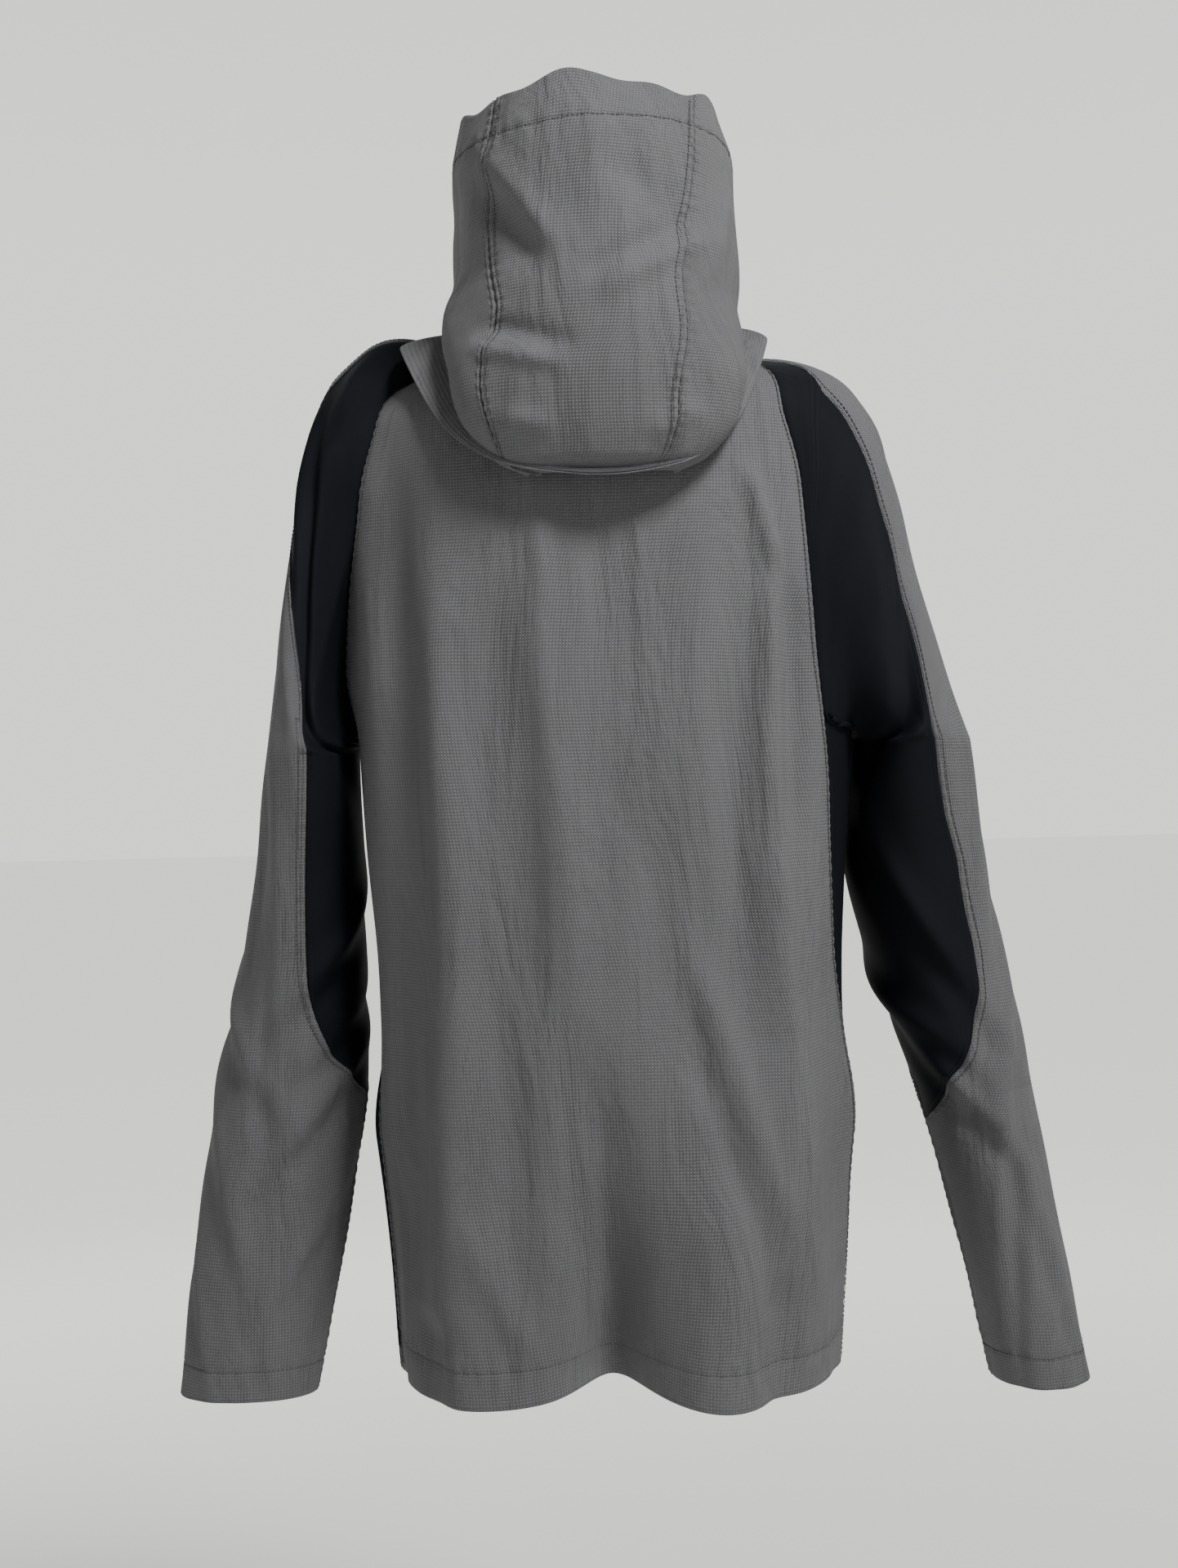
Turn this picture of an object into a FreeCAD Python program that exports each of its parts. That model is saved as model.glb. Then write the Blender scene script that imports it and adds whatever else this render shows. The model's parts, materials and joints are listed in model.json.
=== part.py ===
import FreeCAD, Part
import math
import os
import Sketcher
from FreeCAD import Vector as V

# Hooded shell jacket hanging open-bodied on its own shape.  Millimetres, +Z up, the front faces -Y,
# the wearer's left is +X.  The origin is the hang loop at the inside back of the neck.

doc = FreeCAD.newDocument("hooded_shell_jacket")
sheet = doc.addObject("Spreadsheet::Sheet", "sizes")

# height, half width, front lean offset is separate, back depth: one row per torso ring
TORSO_ROWS = [
    (60, 64, 58), (40, 66, 61), (20, 69, 64), (0, 76, 68), (-8, 98, 78), (-18, 124, 90),
    (-32, 146, 100), (-55, 160, 109), (-100, 170, 117), (-180, 172, 122), (-250, 172, 125),
    (-400, 164, 128), (-475, 162, 129.5), (-560, 153, 131), (-672, 145, 134),
]
HOOD_ROWS = [
    (-96, 46, 139, 121), (-86, 66, 149, 119), (-60, 86, 158, 116.5), (-30, 94, 161, 110),
    (-5, 96, 161, 91), (14, 97, 160, 76), (40, 97, 157, 52), (80, 96, 151, 30),
    (118, 93, 142, 22), (146, 86, 128, 24),
]
# height of the ring centre, centre x, centre y, half width across, half depth
LEFT_ROWS = [
    (-262, 205, -8, 30, 82), (-350, 208, -22, 38, 72), (-430, 217, -26, 48, 60),
    (-500, 227, -26, 53, 50), (-600, 240, -24, 49, 39), (-694, 254, -22, 47, 32),
]
RIGHT_ROWS = [
    (-262, 208, -8, 34, 82), (-350, 214, -22, 44, 71), (-430, 231, -26, 43, 64),
    (-500, 247, -26, 37, 58), (-600, 268, -24, 33, 50), (-694, 286, -22, 32, 46),
]
SIZES = [
    ("shell_thick", 1.5), ("trim_thick", 1.1), ("seam_gap", 0.4), ("collar_top", 58),
    ("hem_height", -672), ("hem_deep", 26), ("front_lean", 0.065), ("front_base", -98),
    ("fold_x_top", 44), ("fold_x_slope", 0.0825), ("fold_y_top", -84), ("fold_y_slope", 0.0495),
    ("ring_power", 2.3), ("armpit_height", -250), ("brim_height", 120), ("cuff_deep", 24),
    ("tape_wide", 10), ("tape_thick", 0.8), ("teeth_wide", 2.5), ("teeth_thick", 2.4),
    ("zip_top", 50), ("zip_long", 702), ("slider_wide", 10.8), ("slider_long", 11),
    ("slider_thick", 2.2), ("pull_wide", 7), ("pull_long", 30), ("pull_thick", 1.6),
    ("pocket_zip_long", 160), ("pocket_teeth_wide", 5), ("small_slider_wide", 7),
    ("small_slider_long", 9), ("small_slider_thick", 2.4), ("small_pull_wide", 5),
    ("small_pull_long", 24), ("loop_drop", 14), ("loop_thick", 2), ("loop_back", 64.5), ("loop_height", -16),
    ("label_wide", 38), ("label_high", 26), ("bag_wide", 120), ("bag_high", 190),
]
row = 1
for name, value in SIZES:
    sheet.set("A%d" % row, name)
    sheet.set("B%d" % row, str(value))
    sheet.setAlias("B%d" % row, name)
    row += 1
for tag, table, fields in (
    ("torso", TORSO_ROWS, ("height", "half", "back")),
    ("hoodring", HOOD_ROWS, ("height", "half", "back", "front")),
    ("leftring", LEFT_ROWS, ("height", "mid", "side", "half", "deep")),
    ("rightring", RIGHT_ROWS, ("height", "mid", "side", "half", "deep")),
):
    for i, values in enumerate(table):
        for field, value in zip(fields, values):
            sheet.set("A%d" % row, "%s_%s_%d" % (tag, field, i))
            sheet.set("B%d" % row, str(value))
            sheet.setAlias("B%d" % row, "%s_%s_%d" % (tag, field, i))
            row += 1
doc.recompute()


def size(alias):
    return float(sheet.get(alias))


def column(tag, field, count):
    return [size("%s_%s_%d" % (tag, field, i)) for i in range(count)]


def smooth_table(xs, ys):
    """Monotone cubic through the rows; xs may run either way."""
    pairs = sorted(zip(xs, ys))
    x = [p[0] for p in pairs]
    y = [p[1] for p in pairs]
    n = len(x)
    d = [(y[i + 1] - y[i]) / (x[i + 1] - x[i]) for i in range(n - 1)]
    m = [d[0]] + [0.0] * (n - 2) + [d[-1]]
    for i in range(1, n - 1):
        if d[i - 1] * d[i] > 0:
            m[i] = 2 * d[i - 1] * d[i] / (d[i - 1] + d[i])

    def at(v):
        v = max(x[0], min(x[-1], v))
        i = 0
        while i < n - 2 and v > x[i + 1]:
            i += 1
        h = x[i + 1] - x[i]
        t = (v - x[i]) / h
        return (
            y[i] * (1 + 2 * t) * (1 - t) ** 2 + m[i] * h * t * (1 - t) ** 2
            + y[i + 1] * t * t * (3 - 2 * t) + m[i + 1] * h * t * t * (t - 1)
        )

    return at


TZ = column("torso", "height", len(TORSO_ROWS))
half_at = smooth_table(TZ, column("torso", "half", len(TORSO_ROWS)))
back_at = smooth_table(TZ, column("torso", "back", len(TORSO_ROWS)))
POWER = size("ring_power")
THICK = size("shell_thick")
TRIM = size("trim_thick")
GAP = size("seam_gap")
HEM = size("hem_height")
PIT = size("armpit_height")
rad = math.radians


def front_at(z):
    return size("front_base") + size("front_lean") * z


def fold_x(z):
    return size("fold_x_top") + size("fold_x_slope") * (size("collar_top") - z)


def fold_y(z):
    return size("fold_y_top") - size("fold_y_slope") * (size("collar_top") - z)


def ring_point(t, w, yf, yb):
    c, s = math.cos(t), math.sin(t)
    yc, d = (yf + yb) / 2, (yb - yf) / 2
    x = w * math.copysign(abs(c) ** (2 / POWER), c)
    y = yc + d * math.copysign(abs(s) ** (2 / POWER), s)
    return x, y


def angle_for_x(x, z):
    """Ring angle on the front where the ring is x off the middle."""
    w = half_at(z)
    return -math.acos(min(0.999, (x / w)) ** (POWER / 2))


def torso(t, z, off=0.0):
    """Point on the torso at ring angle t (front -90, left side 0, back 90 degrees) and height z."""
    w, yf, yb = half_at(z) + off, front_at(z) - off, back_at(z) + off
    x, y = ring_point(t, w, yf, yb)
    if t < 0 or t > math.pi:
        mirror = t if t > -math.pi / 2 and t < math.pi / 2 else math.pi - t
        a = mirror if mirror < 0 else mirror - 2 * math.pi
        tf = angle_for_x(fold_x(z), z)
        gap = fold_y(z) - ring_point(tf, half_at(z), front_at(z), back_at(z))[1]
        end = rad(-12)
        if a <= tf:
            h = math.sin(math.pi / 2 * (a + math.pi / 2) / (tf + math.pi / 2)) ** 2
        elif a < end:
            h = math.cos(math.pi / 2 * (a - tf) / (end - tf)) ** 2
        else:
            h = 0.0
        y += gap * h
    return V(x, y, z)


# ring angle of the back seam on each side: the trunk hangs a little twisted
BACK_EDGE = {
    "left": smooth_table(
        [-3, -8, -18, -32, -55, -100, -200, -250, -300, -400, -672], [6, 12, 17, 20, 25, 24, 11, 8, 7, 8, 5]
    ),
    "right": smooth_table(
        [-3, -8, -18, -32, -55, -100, -200, -250, -300, -400, -460, -672],
        [8, 16, 30, 40, 45, 44, 41, 37, 31, 20, 9, 5],
    ),
}
front_edge_at = smooth_table(
    [-3, -8, -18, -32, -55, -100, -200, -250, -400, -672],
    [-16, -22, -29, -33, -36, -37, -30, -24, -21, -20],
)


def steps(a, b, n):
    return [a + (b - a) * i / (n - 1) for i in range(n)]


def slab(outer, inner):
    """Closed six-sided solid between two grids of points."""
    so, si = Part.BSplineSurface(), Part.BSplineSurface()
    so.interpolate(outer)
    si.interpolate(inner)
    u0, u1, v0, v1 = so.bounds()
    p0, p1, q0, q1 = si.bounds()
    faces = [so.toShape(), si.toShape()]
    for a, b in (
        (so.uIso(u0), si.uIso(p0)), (so.uIso(u1), si.uIso(p1)),
        (so.vIso(v0), si.vIso(q0)), (so.vIso(v1), si.vIso(q1)),
    ):
        faces.append(Part.makeRuledSurface(a.toShape(), b.toShape(), 1))
    shell = Part.makeShell(faces)
    shell.sewShape()
    solid = Part.Solid(shell)
    if solid.Volume < 0:
        solid.reverse()
    return solid


def put(label, shape):
    ob = doc.addObject("Part::Feature", label)
    ob.Label = label
    ob.Shape = shape
    ob.Placement = FreeCAD.Placement(V(0, 0, 0), FreeCAD.Rotation())
    return ob


def torso_slab(label, zs, lo, hi, n, out=0.0, thick=None):
    """Panel on the torso: at each height from angle lo(z) to hi(z)."""
    thick = THICK if thick is None else thick
    grids = []
    for off in (out, out - thick):
        grids.append([[torso(t, z, off) for t in steps(lo(z), hi(z), n)] for z in zs])
    return put(label, slab(grids[0], grids[1]))


def side(sign, angle):
    return angle if sign > 0 else math.pi - angle


nodes = []


def keep(ob):
    nodes.append(ob)
    return ob


# ---------------------------------------------------------------- torso panels
upper = [-4, -8, -18, -32, -55, -80, -110, -150, -200, -250]
lower = [-250, -300, -360, -430, -500, -570, -630, HEM]
all_z = upper + lower[1:]
keep(torso_slab(
    "back_panel", all_z, lambda z: rad(BACK_EDGE["left"](z)),
    lambda z: math.pi - rad(BACK_EDGE["right"](z)), 17,
))
for name, sg in (("left", 1), ("right", -1)):
    keep(torso_slab(
        name + "_side_panel", lower,
        lambda z: side(sg, rad(front_edge_at(z) + 0.35)),
        lambda z: side(sg, rad(BACK_EDGE[name](z) - 0.35)), 7,
    ))
    keep(torso_slab(
        name + "_front_side", all_z,
        lambda z: side(sg, angle_for_x(fold_x(z) + 1.2, z)),
        lambda z: side(sg, rad(front_edge_at(z))), 9,
    ))
    front_z = [-4, -20, -60, -110, -180, -260, -340, -420, -500, -580, HEM]
    keep(torso_slab(
        name + "_front_panel", front_z,
        lambda z: side(sg, angle_for_x(6.4, z)),
        lambda z: side(sg, angle_for_x(fold_x(z) - 1.2, z)), 7,
    ))
    collar_z = steps(-3.4, size("collar_top"), 6)
    keep(torso_slab(
        name + "_collar_front", collar_z,
        lambda z: side(sg, angle_for_x(6.4, z)),
        lambda z: side(sg, angle_for_x(fold_x(z) - 1.2, z)), 6,
    ))
    hem_z = steps(HEM + 1, HEM + size("hem_deep"), 3)
    keep(torso_slab(
        name + "_front_hem", hem_z,
        lambda z: side(sg, angle_for_x(18, z)),
        lambda z: side(sg, angle_for_x(fold_x(z) - 2.5, z)), 6, -THICK - 0.5, TRIM,
    ))
keep(torso_slab(
    "collar_back", steps(-3.4, size("collar_top"), 6),
    lambda z: angle_for_x(fold_x(z) + 1.2, z), lambda z: math.pi - angle_for_x(fold_x(z) + 1.2, z), 25,
))
keep(torso_slab(
    "collar_lining", steps(2, size("collar_top") - 3, 5),
    lambda z: rad(-30), lambda z: math.pi - rad(-30), 21, -THICK - 0.6, TRIM,
))
keep(torso_slab(
    "back_hem_band", steps(HEM + 1, HEM + size("hem_deep"), 3),
    lambda z: angle_for_x(fold_x(z) + 2.5, z),
    lambda z: math.pi - angle_for_x(fold_x(z) + 2.5, z), 31, -THICK - 0.5, TRIM,
))
# soft roll round the outside of the neck seam, at the back
keep(torso_slab(
    "neck_band", [-1, 6, 13, 20], lambda z: rad(-20), lambda z: math.pi - rad(-20), 25, 4.4, 2.2
))


# ---------------------------------------------------------------- sleeves
def sleeve_tables(tag, rows):
    zs = column(tag, "height", len(rows))
    return [zs] + [
        smooth_table(zs, column(tag, field, len(rows))) for field in ("mid", "side", "half", "deep")
    ]


def sleeve_ring(tables, sg, psi, z, off=0.0):
    """psi 0 is the outside of the arm, 90 the back, 180 the inside, 270 the front."""
    zs, mid, yy, half, deep = tables
    x = mid(z) + (half(z) + off) * math.cos(psi)
    y = yy(z) + (deep(z) + off) * math.sin(psi)
    return V(sg * x, y, z)


def armhole_point(psi, edge, off=0.0):
    """Loop of the armhole seam as on the left of the torso, by the same angle as the sleeve rings."""
    back_edge_at = BACK_EDGE[edge]
    a = math.degrees(psi) % 360
    if a <= 10 or a >= 350:
        s = (a if a <= 10 else a - 360) / 10
        z = -4
        lo, hi = front_edge_at(z), back_edge_at(z)
        return torso(rad((lo + hi) / 2 + s * (hi - lo) / 2), z, off)
    if a < 155:
        z = -4 + (PIT + 4) * ((a - 10) / 145) ** 1.25
        return torso(rad(back_edge_at(z)), z, off)
    if a <= 205:
        s = (a - 155) / 50
        return torso(rad(back_edge_at(PIT) + s * (front_edge_at(PIT) - back_edge_at(PIT))), PIT, off)
    z = -4 + (PIT + 4) * ((350 - a) / 145) ** 1.25
    return torso(rad(front_edge_at(z)), z, off)


# how far the shoulder cap swings out and up from the neck, and back and up from the first ring
CAP = {"left": (80, 74, 26, 208), "right": (123, 19, 62, 152)}


def root_point(tables, sg, psi, s, off=0.0):
    """Cloth between the armhole seam (s 0) and the first sleeve ring (s 1)."""
    edge = "left" if sg > 0 else "right"
    top = tables[0][0] + 1.0
    a = armhole_point(psi, edge, off)
    b = sleeve_ring(tables, 1, psi, top, off)
    c, k = math.cos(psi), max(0.0, math.cos(psi))
    reach = min(1.0, max(0.08, (200 - a.x) / 115))
    out, up, back, rise = CAP[edge]
    first = a + V((8 + out * k) * reach, 0, -6 + up * k * reach)
    last = b + V(-back * k - 4 * (1 - k), 0, 22 + rise * k)
    w = min(1.0, max(0.0, -c / 0.35))
    w = w * w * (3 - 2 * w)
    first = first * (1 - w) + (a + V(9, 0, -3)) * w
    last = last * (1 - w) + (b + V(-4, 0, 10)) * w
    p = a * (1 - s) ** 3 + first * 3 * s * (1 - s) ** 2 + last * 3 * s * s * (1 - s) + b * s ** 3
    return V(sg * p.x, p.y, p.z)


def root_inside(tables, sg, psi, s, part):
    """The same cloth's inner face, one thickness in; under the arm it follows the surface normal."""
    if part == "outer":
        return root_point(tables, sg, psi, s, -THICK)
    e = 0.01
    du = root_point(tables, sg, psi + e, s) - root_point(tables, sg, psi - e, s)
    dv = root_point(tables, sg, psi, min(1, s + e)) - root_point(tables, sg, psi, max(0, s - e))
    return root_point(tables, sg, psi, s) - dv.cross(du).normalize() * (sg * THICK)


for name, sg, rows in (("left", 1, LEFT_ROWS), ("right", -1, RIGHT_ROWS)):
    tables = sleeve_tables(name + "ring", rows)
    top, end = tables[0][0], tables[0][-1]
    zs = steps(top, end, 9)
    for part, lo, hi, n in (("outer", -83.6, 65.6, 11), ("under", 66.2, 275.8, 19)):
        grids = [
            [[sleeve_ring(tables, sg, t, z, off) for t in steps(rad(lo), rad(hi), n)] for z in zs]
            for off in (0.0, -THICK)
        ]
        keep(put("%s_sleeve_%s" % (name, part), slab(grids[0], grids[1])))
        around, down = steps(rad(lo), rad(hi), n), steps(0.03, 0.99, 9)
        grids = [
            [[root_point(tables, sg, t, s) for t in around] for s in down],
            [[root_inside(tables, sg, t, s, part) for t in around] for s in down],
        ]
        keep(put("%s_shoulder_%s" % (name, part), slab(grids[0], grids[1])))
    grids = [
        [
            [sleeve_ring(tables, sg, t, z, off) for t in steps(rad(0), rad(359.2), 25)]
            for z in steps(end + size("cuff_deep"), end + 1, 3)
        ]
        for off in (-THICK - 1.9, -THICK - 1.9 - TRIM)
    ]
    keep(put(name + "_cuff_hem", slab(grids[0], grids[1])))

# ---------------------------------------------------------------- hood
HZ = column("hoodring", "height", len(HOOD_ROWS))
hood_half = smooth_table(HZ, column("hoodring", "half", len(HOOD_ROWS)))
hood_back = smooth_table(HZ, column("hoodring", "back", len(HOOD_ROWS)))
hood_front = smooth_table(HZ, column("hoodring", "front", len(HOOD_ROWS)))


def hood(a, z, off=0.0):
    """a 0 is the middle of the back, plus 90 degrees the left edge of the face opening."""
    w, yb, ye = hood_half(z) + off, hood_back(z) + off, hood_front(z)
    s, c = math.sin(a), math.cos(a)
    return V(
        w * math.copysign(abs(s) ** 0.9, s), ye + (yb - ye) * math.copysign(abs(c) ** 0.8, c), z
    )


hood_z = [-94, -88, -76, -60, -40, -18, 0, 20, 45, 75, 100, size("brim_height")]
for name, lo, hi, n in (("hood_center", -38, 38, 9), ("hood_left", 38, 90, 6), ("hood_right", -90, -38, 6)):
    zs = hood_z
    grids = [[[hood(rad(t), z, off) for t in steps(lo, hi, n)] for z in zs] for off in (0.0, -THICK)]
    keep(put(name, slab(grids[0], grids[1])))
grids = [
    [
        [hood(rad(t), z, off) for t in steps(-90, 90, 17)]
        for z in steps(size("brim_height"), HZ[-1], 3)
    ]
    for off in (0.4, -THICK - 0.6)
]
keep(put("hood_brim", slab(grids[0], grids[1])))
grids = []
for off in (0.0, THICK):
    grids.append([
        [
            V(x * (hood_half(z) - 3), hood_front(z) + off - 1.2 * (1 - x * x), z)
            for x in steps(-1, 1, 9)
        ]
        for z in (-93, -75, -50, -30, -15, -4, 6, 12)
    ])
keep(put("hood_inner", slab(grids[0], grids[1])))
# strip that ties the hood to the neck seam
grids = []
for off in (0.0, -THICK):
    table = []
    for s in steps(0, 1, 4):
        line = []
        for t in steps(rad(30), rad(150), 13):
            p = torso(t, 14, 8.0 + off)
            q = V(p.x * 1.05, hood_front(10) - 1.8 + off, 13.0)
            line.append(p * (1 - s) + q * s)
        table.append(line)
    grids.append(table)
keep(put("hood_neck_strip", slab(grids[0], grids[1])))

# ---------------------------------------------------------------- front zip
LEAN = -math.degrees(math.atan(size("front_lean")))
tilt = FreeCAD.Rotation(V(1, 0, 0), LEAN)
zip_foot = V(0, front_at(HEM + 20), HEM + 20)


def bound_box(label, length, width, height, place, rotation):
    ob = doc.addObject("Part::Box", label)
    ob.Label = label
    ob.setExpression("Length", length)
    ob.setExpression("Width", width)
    ob.setExpression("Height", height)
    ob.Placement = FreeCAD.Placement(place, rotation)
    return keep(ob)


def on_zip(x, y, along):
    return zip_foot + tilt.multVec(V(x, y, along))


tw, tt = size("tape_wide"), size("tape_thick")
gw, gt = size("teeth_wide"), size("teeth_thick")
for name, sg in (("left", 1), ("right", -1)):
    bound_box(
        name + "_zip_tape", "sizes.tape_wide", "sizes.tape_thick", "sizes.zip_long",
        on_zip(3.0 if sg > 0 else -3.0 - tw, 2.7, 0), tilt,
    )
    bound_box(
        name + "_zip_teeth", "sizes.teeth_wide", "sizes.teeth_thick", "sizes.zip_long - 24 mm / 1 mm",
        on_zip(0.4 if sg > 0 else -0.4 - gw, 1.2, 12), tilt,
    )
    bound_box(
        name + "_top_stop", "sizes.teeth_wide", "sizes.teeth_thick + 0.6", "5",
        on_zip(0.4 if sg > 0 else -0.4 - gw, 0.9, size("zip_long") - 11), tilt,
    )
bound_box("zip_pin", "2.2", "sizes.teeth_thick", "11.4", on_zip(0.5, 1.2, 0.2), tilt)
bound_box("zip_box", "2.4", "sizes.teeth_thick + 1.2", "11.4", on_zip(-2.9, 0.6, 0.2), tilt)
doc.recompute()


def plane_of(body, role):
    return [f for f in body.Origin.OriginFeatures if f.Role == role][0]


def plate_body(label, wide, long, thick, place, rotation, hole=None):
    """Flat plate in X and Z with its front on the local XZ plane, padded towards +Y."""
    body = doc.addObject("PartDesign::Body", label)
    body.Label = label
    sk = body.newObject("Sketcher::SketchObject", label + "_outline")
    sk.AttachmentSupport = [(plane_of(body, "XY_Plane"), "")]
    sk.MapMode = "FlatFace"
    w, h = 6.0, 12.0
    pts = [V(-w, -h, 0), V(w, -h, 0), V(w, 0, 0), V(-w, 0, 0)]
    for i in range(4):
        sk.addGeometry(Part.LineSegment(pts[i], pts[(i + 1) % 4]), False)
    for i in range(4):
        sk.addConstraint(Sketcher.Constraint("Coincident", i, 2, (i + 1) % 4, 1))
    sk.addConstraint(Sketcher.Constraint("Horizontal", 0))
    sk.addConstraint(Sketcher.Constraint("Horizontal", 2))
    sk.addConstraint(Sketcher.Constraint("Vertical", 1))
    sk.addConstraint(Sketcher.Constraint("Vertical", 3))
    a = sk.addConstraint(Sketcher.Constraint("DistanceX", 0, 1, 0, 2, 2 * w))
    b = sk.addConstraint(Sketcher.Constraint("DistanceY", 1, 1, 1, 2, h))
    sk.addConstraint(Sketcher.Constraint("Symmetric", 2, 1, 2, 2, -1, 1))
    sk.setExpression("Constraints[%d]" % a, wide)
    sk.setExpression("Constraints[%d]" % b, long)
    pad = body.newObject("PartDesign::Pad", label + "_pad")
    pad.Profile = sk
    pad.setExpression("Length", thick)
    body.Tip = pad
    doc.recompute()
    if hole:
        hs = body.newObject("Sketcher::SketchObject", label + "_window")
        hs.AttachmentSupport = [(plane_of(body, "XY_Plane"), "")]
        hs.MapMode = "FlatFace"
        r, y0, y1 = hole
        pts = [V(-r, y0, 0), V(r, y0, 0), V(r, y1, 0), V(-r, y1, 0)]
        for i in range(4):
            hs.addGeometry(Part.LineSegment(pts[i], pts[(i + 1) % 4]), False)
        cut = body.newObject("PartDesign::Pocket", label + "_cut")
        cut.Profile = hs
        cut.Type = 1
        cut.Midplane = True
        body.Tip = cut
        doc.recompute()
    body.Placement = FreeCAD.Placement(place, rotation)
    return keep(body)


# a plate drawn in its XY plane stands up in XZ with its pad going inwards (+Y) after this turn
upright = FreeCAD.Rotation(V(1, 0, 0), 90)
st = size("slider_thick")
top = size("zip_long") - 11 - 5.6
plate_body(
    "main_slider", "sizes.slider_wide", "sizes.slider_long", "sizes.slider_thick",
    on_zip(0, 0.7, top), tilt.multiply(upright),
)
plate_body(
    "main_pull", "sizes.pull_wide", "sizes.pull_long", "sizes.pull_thick",
    on_zip(0, 0.7 - st - 0.6, top - 5), tilt.multiply(upright), (1.6, -6.0, -2.0),
)

# ---------------------------------------------------------------- hand pockets
for name, sg in (("left", 1), ("right", -1)):
    z1, z0 = -400.0, -400.0 - size("pocket_zip_long")
    a = torso(side(sg, angle_for_x(112, z1)), z1, 0.6)
    b = torso(side(sg, angle_for_x(124, z0)), z0, 0.6)
    m = torso(side(sg, angle_for_x(118, (z0 + z1) / 2)), (z0 + z1) / 2, 0.6)
    out = (torso(side(sg, angle_for_x(118, -480)), -480, 10) - torso(side(sg, angle_for_x(118, -480)), -480))
    up = (a - b).normalize()
    out = (out - up * out.dot(up)).normalize()
    across = (out * -1).cross(up).normalize()
    turn = FreeCAD.Rotation(across, out * -1, up, "ZXY")
    shift = max(0.0, (m - (a + b) * 0.5).dot(out))
    foot = b + out * (shift + 0.4)

    def on_pocket(x, y, along):
        return foot + across * x + out * -y + up * along

    pw, sl, sk_t = size("pocket_teeth_wide"), size("small_slider_long"), size("small_slider_thick")
    bound_box(
        name + "_pocket_zip", "sizes.pocket_teeth_wide", "1.6", "sizes.pocket_zip_long",
        on_pocket(-pw / 2, -1.2, 0), turn,
    )
    plate_body(
        name + "_pocket_slider", "sizes.small_slider_wide", "sizes.small_slider_long",
        "sizes.small_slider_thick", on_pocket(0, -1.6, size("pocket_zip_long") - 2),
        turn.multiply(upright),
    )
    plate_body(
        name + "_pocket_pull", "sizes.small_pull_wide", "sizes.small_pull_long", "sizes.pull_thick",
        on_pocket(0, -1.6 - sk_t - 0.5, size("pocket_zip_long") - 6), turn.multiply(upright),
        (1.2, -5.0, -2.0),
    )
    torso_slab(
        name + "_pocket_bag", steps(-400 - size("bag_high") + 20, -380, 6),
        lambda z: side(sg, angle_for_x(fold_x(z) + 8, z)),
        lambda z: side(sg, angle_for_x(fold_x(z) + 8 + size("bag_wide") * 0.42, z)),
        7, -THICK - 1.4, 0.8,
    )
    keep(doc.getObject(name + "_pocket_bag"))

# ---------------------------------------------------------------- hang loop, neck label, storm flap
hang = doc.addObject("Part::Torus", "hang_loop")
hang.Label = "hang_loop"
hang.setExpression("Radius1", "sizes.loop_drop")
hang.setExpression("Radius2", "sizes.loop_thick")
hang.Placement = FreeCAD.Placement(
    V(0, size("loop_back"), size("loop_height")), FreeCAD.Rotation(V(1, 0, 0), 90)
)
keep(hang)
keep(torso_slab(
    "neck_label", steps(24, 24 + size("label_high"), 3),
    lambda z: rad(90) - size("label_wide") / 2 / 64, lambda z: rad(90) + size("label_wide") / 2 / 64,
    5, -THICK - TRIM - 1.0, 0.5,
))
flap_z = steps(HEM + 30, size("collar_top") - 6, 9)
grids = [[[V(x, front_at(z) + y, z) for x in (-2, 5, 12, 20)] for z in flap_z] for y in (6.2, 7.2)]
keep(put("storm_flap", slab(grids[0], grids[1])))

# ---------------------------------------------------------------- checks and files
# everything is moved together so the peg's seat inside the loop is at the origin
doc.recompute()
seat = V(0, size("loop_back"), size("loop_height") + size("loop_drop") - size("loop_thick"))
for ob in nodes:
    ob.Placement = FreeCAD.Placement(seat * -1, FreeCAD.Rotation()).multiply(ob.Placement)
doc.recompute()
os.makedirs("parts", exist_ok=True)
names = set()
for ob in doc.Objects:
    if any(flag in ob.State for flag in ("Invalid", "Error")):
        raise RuntimeError("object in error: " + ob.Name)
for ob in nodes:
    shape = ob.Shape
    if shape.isNull() or not shape.isValid() or shape.Volume <= 0 or ob.Label in names:
        raise RuntimeError("bad piece: " + ob.Label)
    names.add(ob.Label)
    shape.exportStep("parts/%s.step" % ob.Label)
box = FreeCAD.BoundBox()
for ob in nodes:
    box.add(ob.Shape.BoundBox)
print(len(nodes), "pieces", box)
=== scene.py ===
import json
import math

import bmesh
import bpy
import numpy as np
from mathutils import Matrix, Vector


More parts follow.
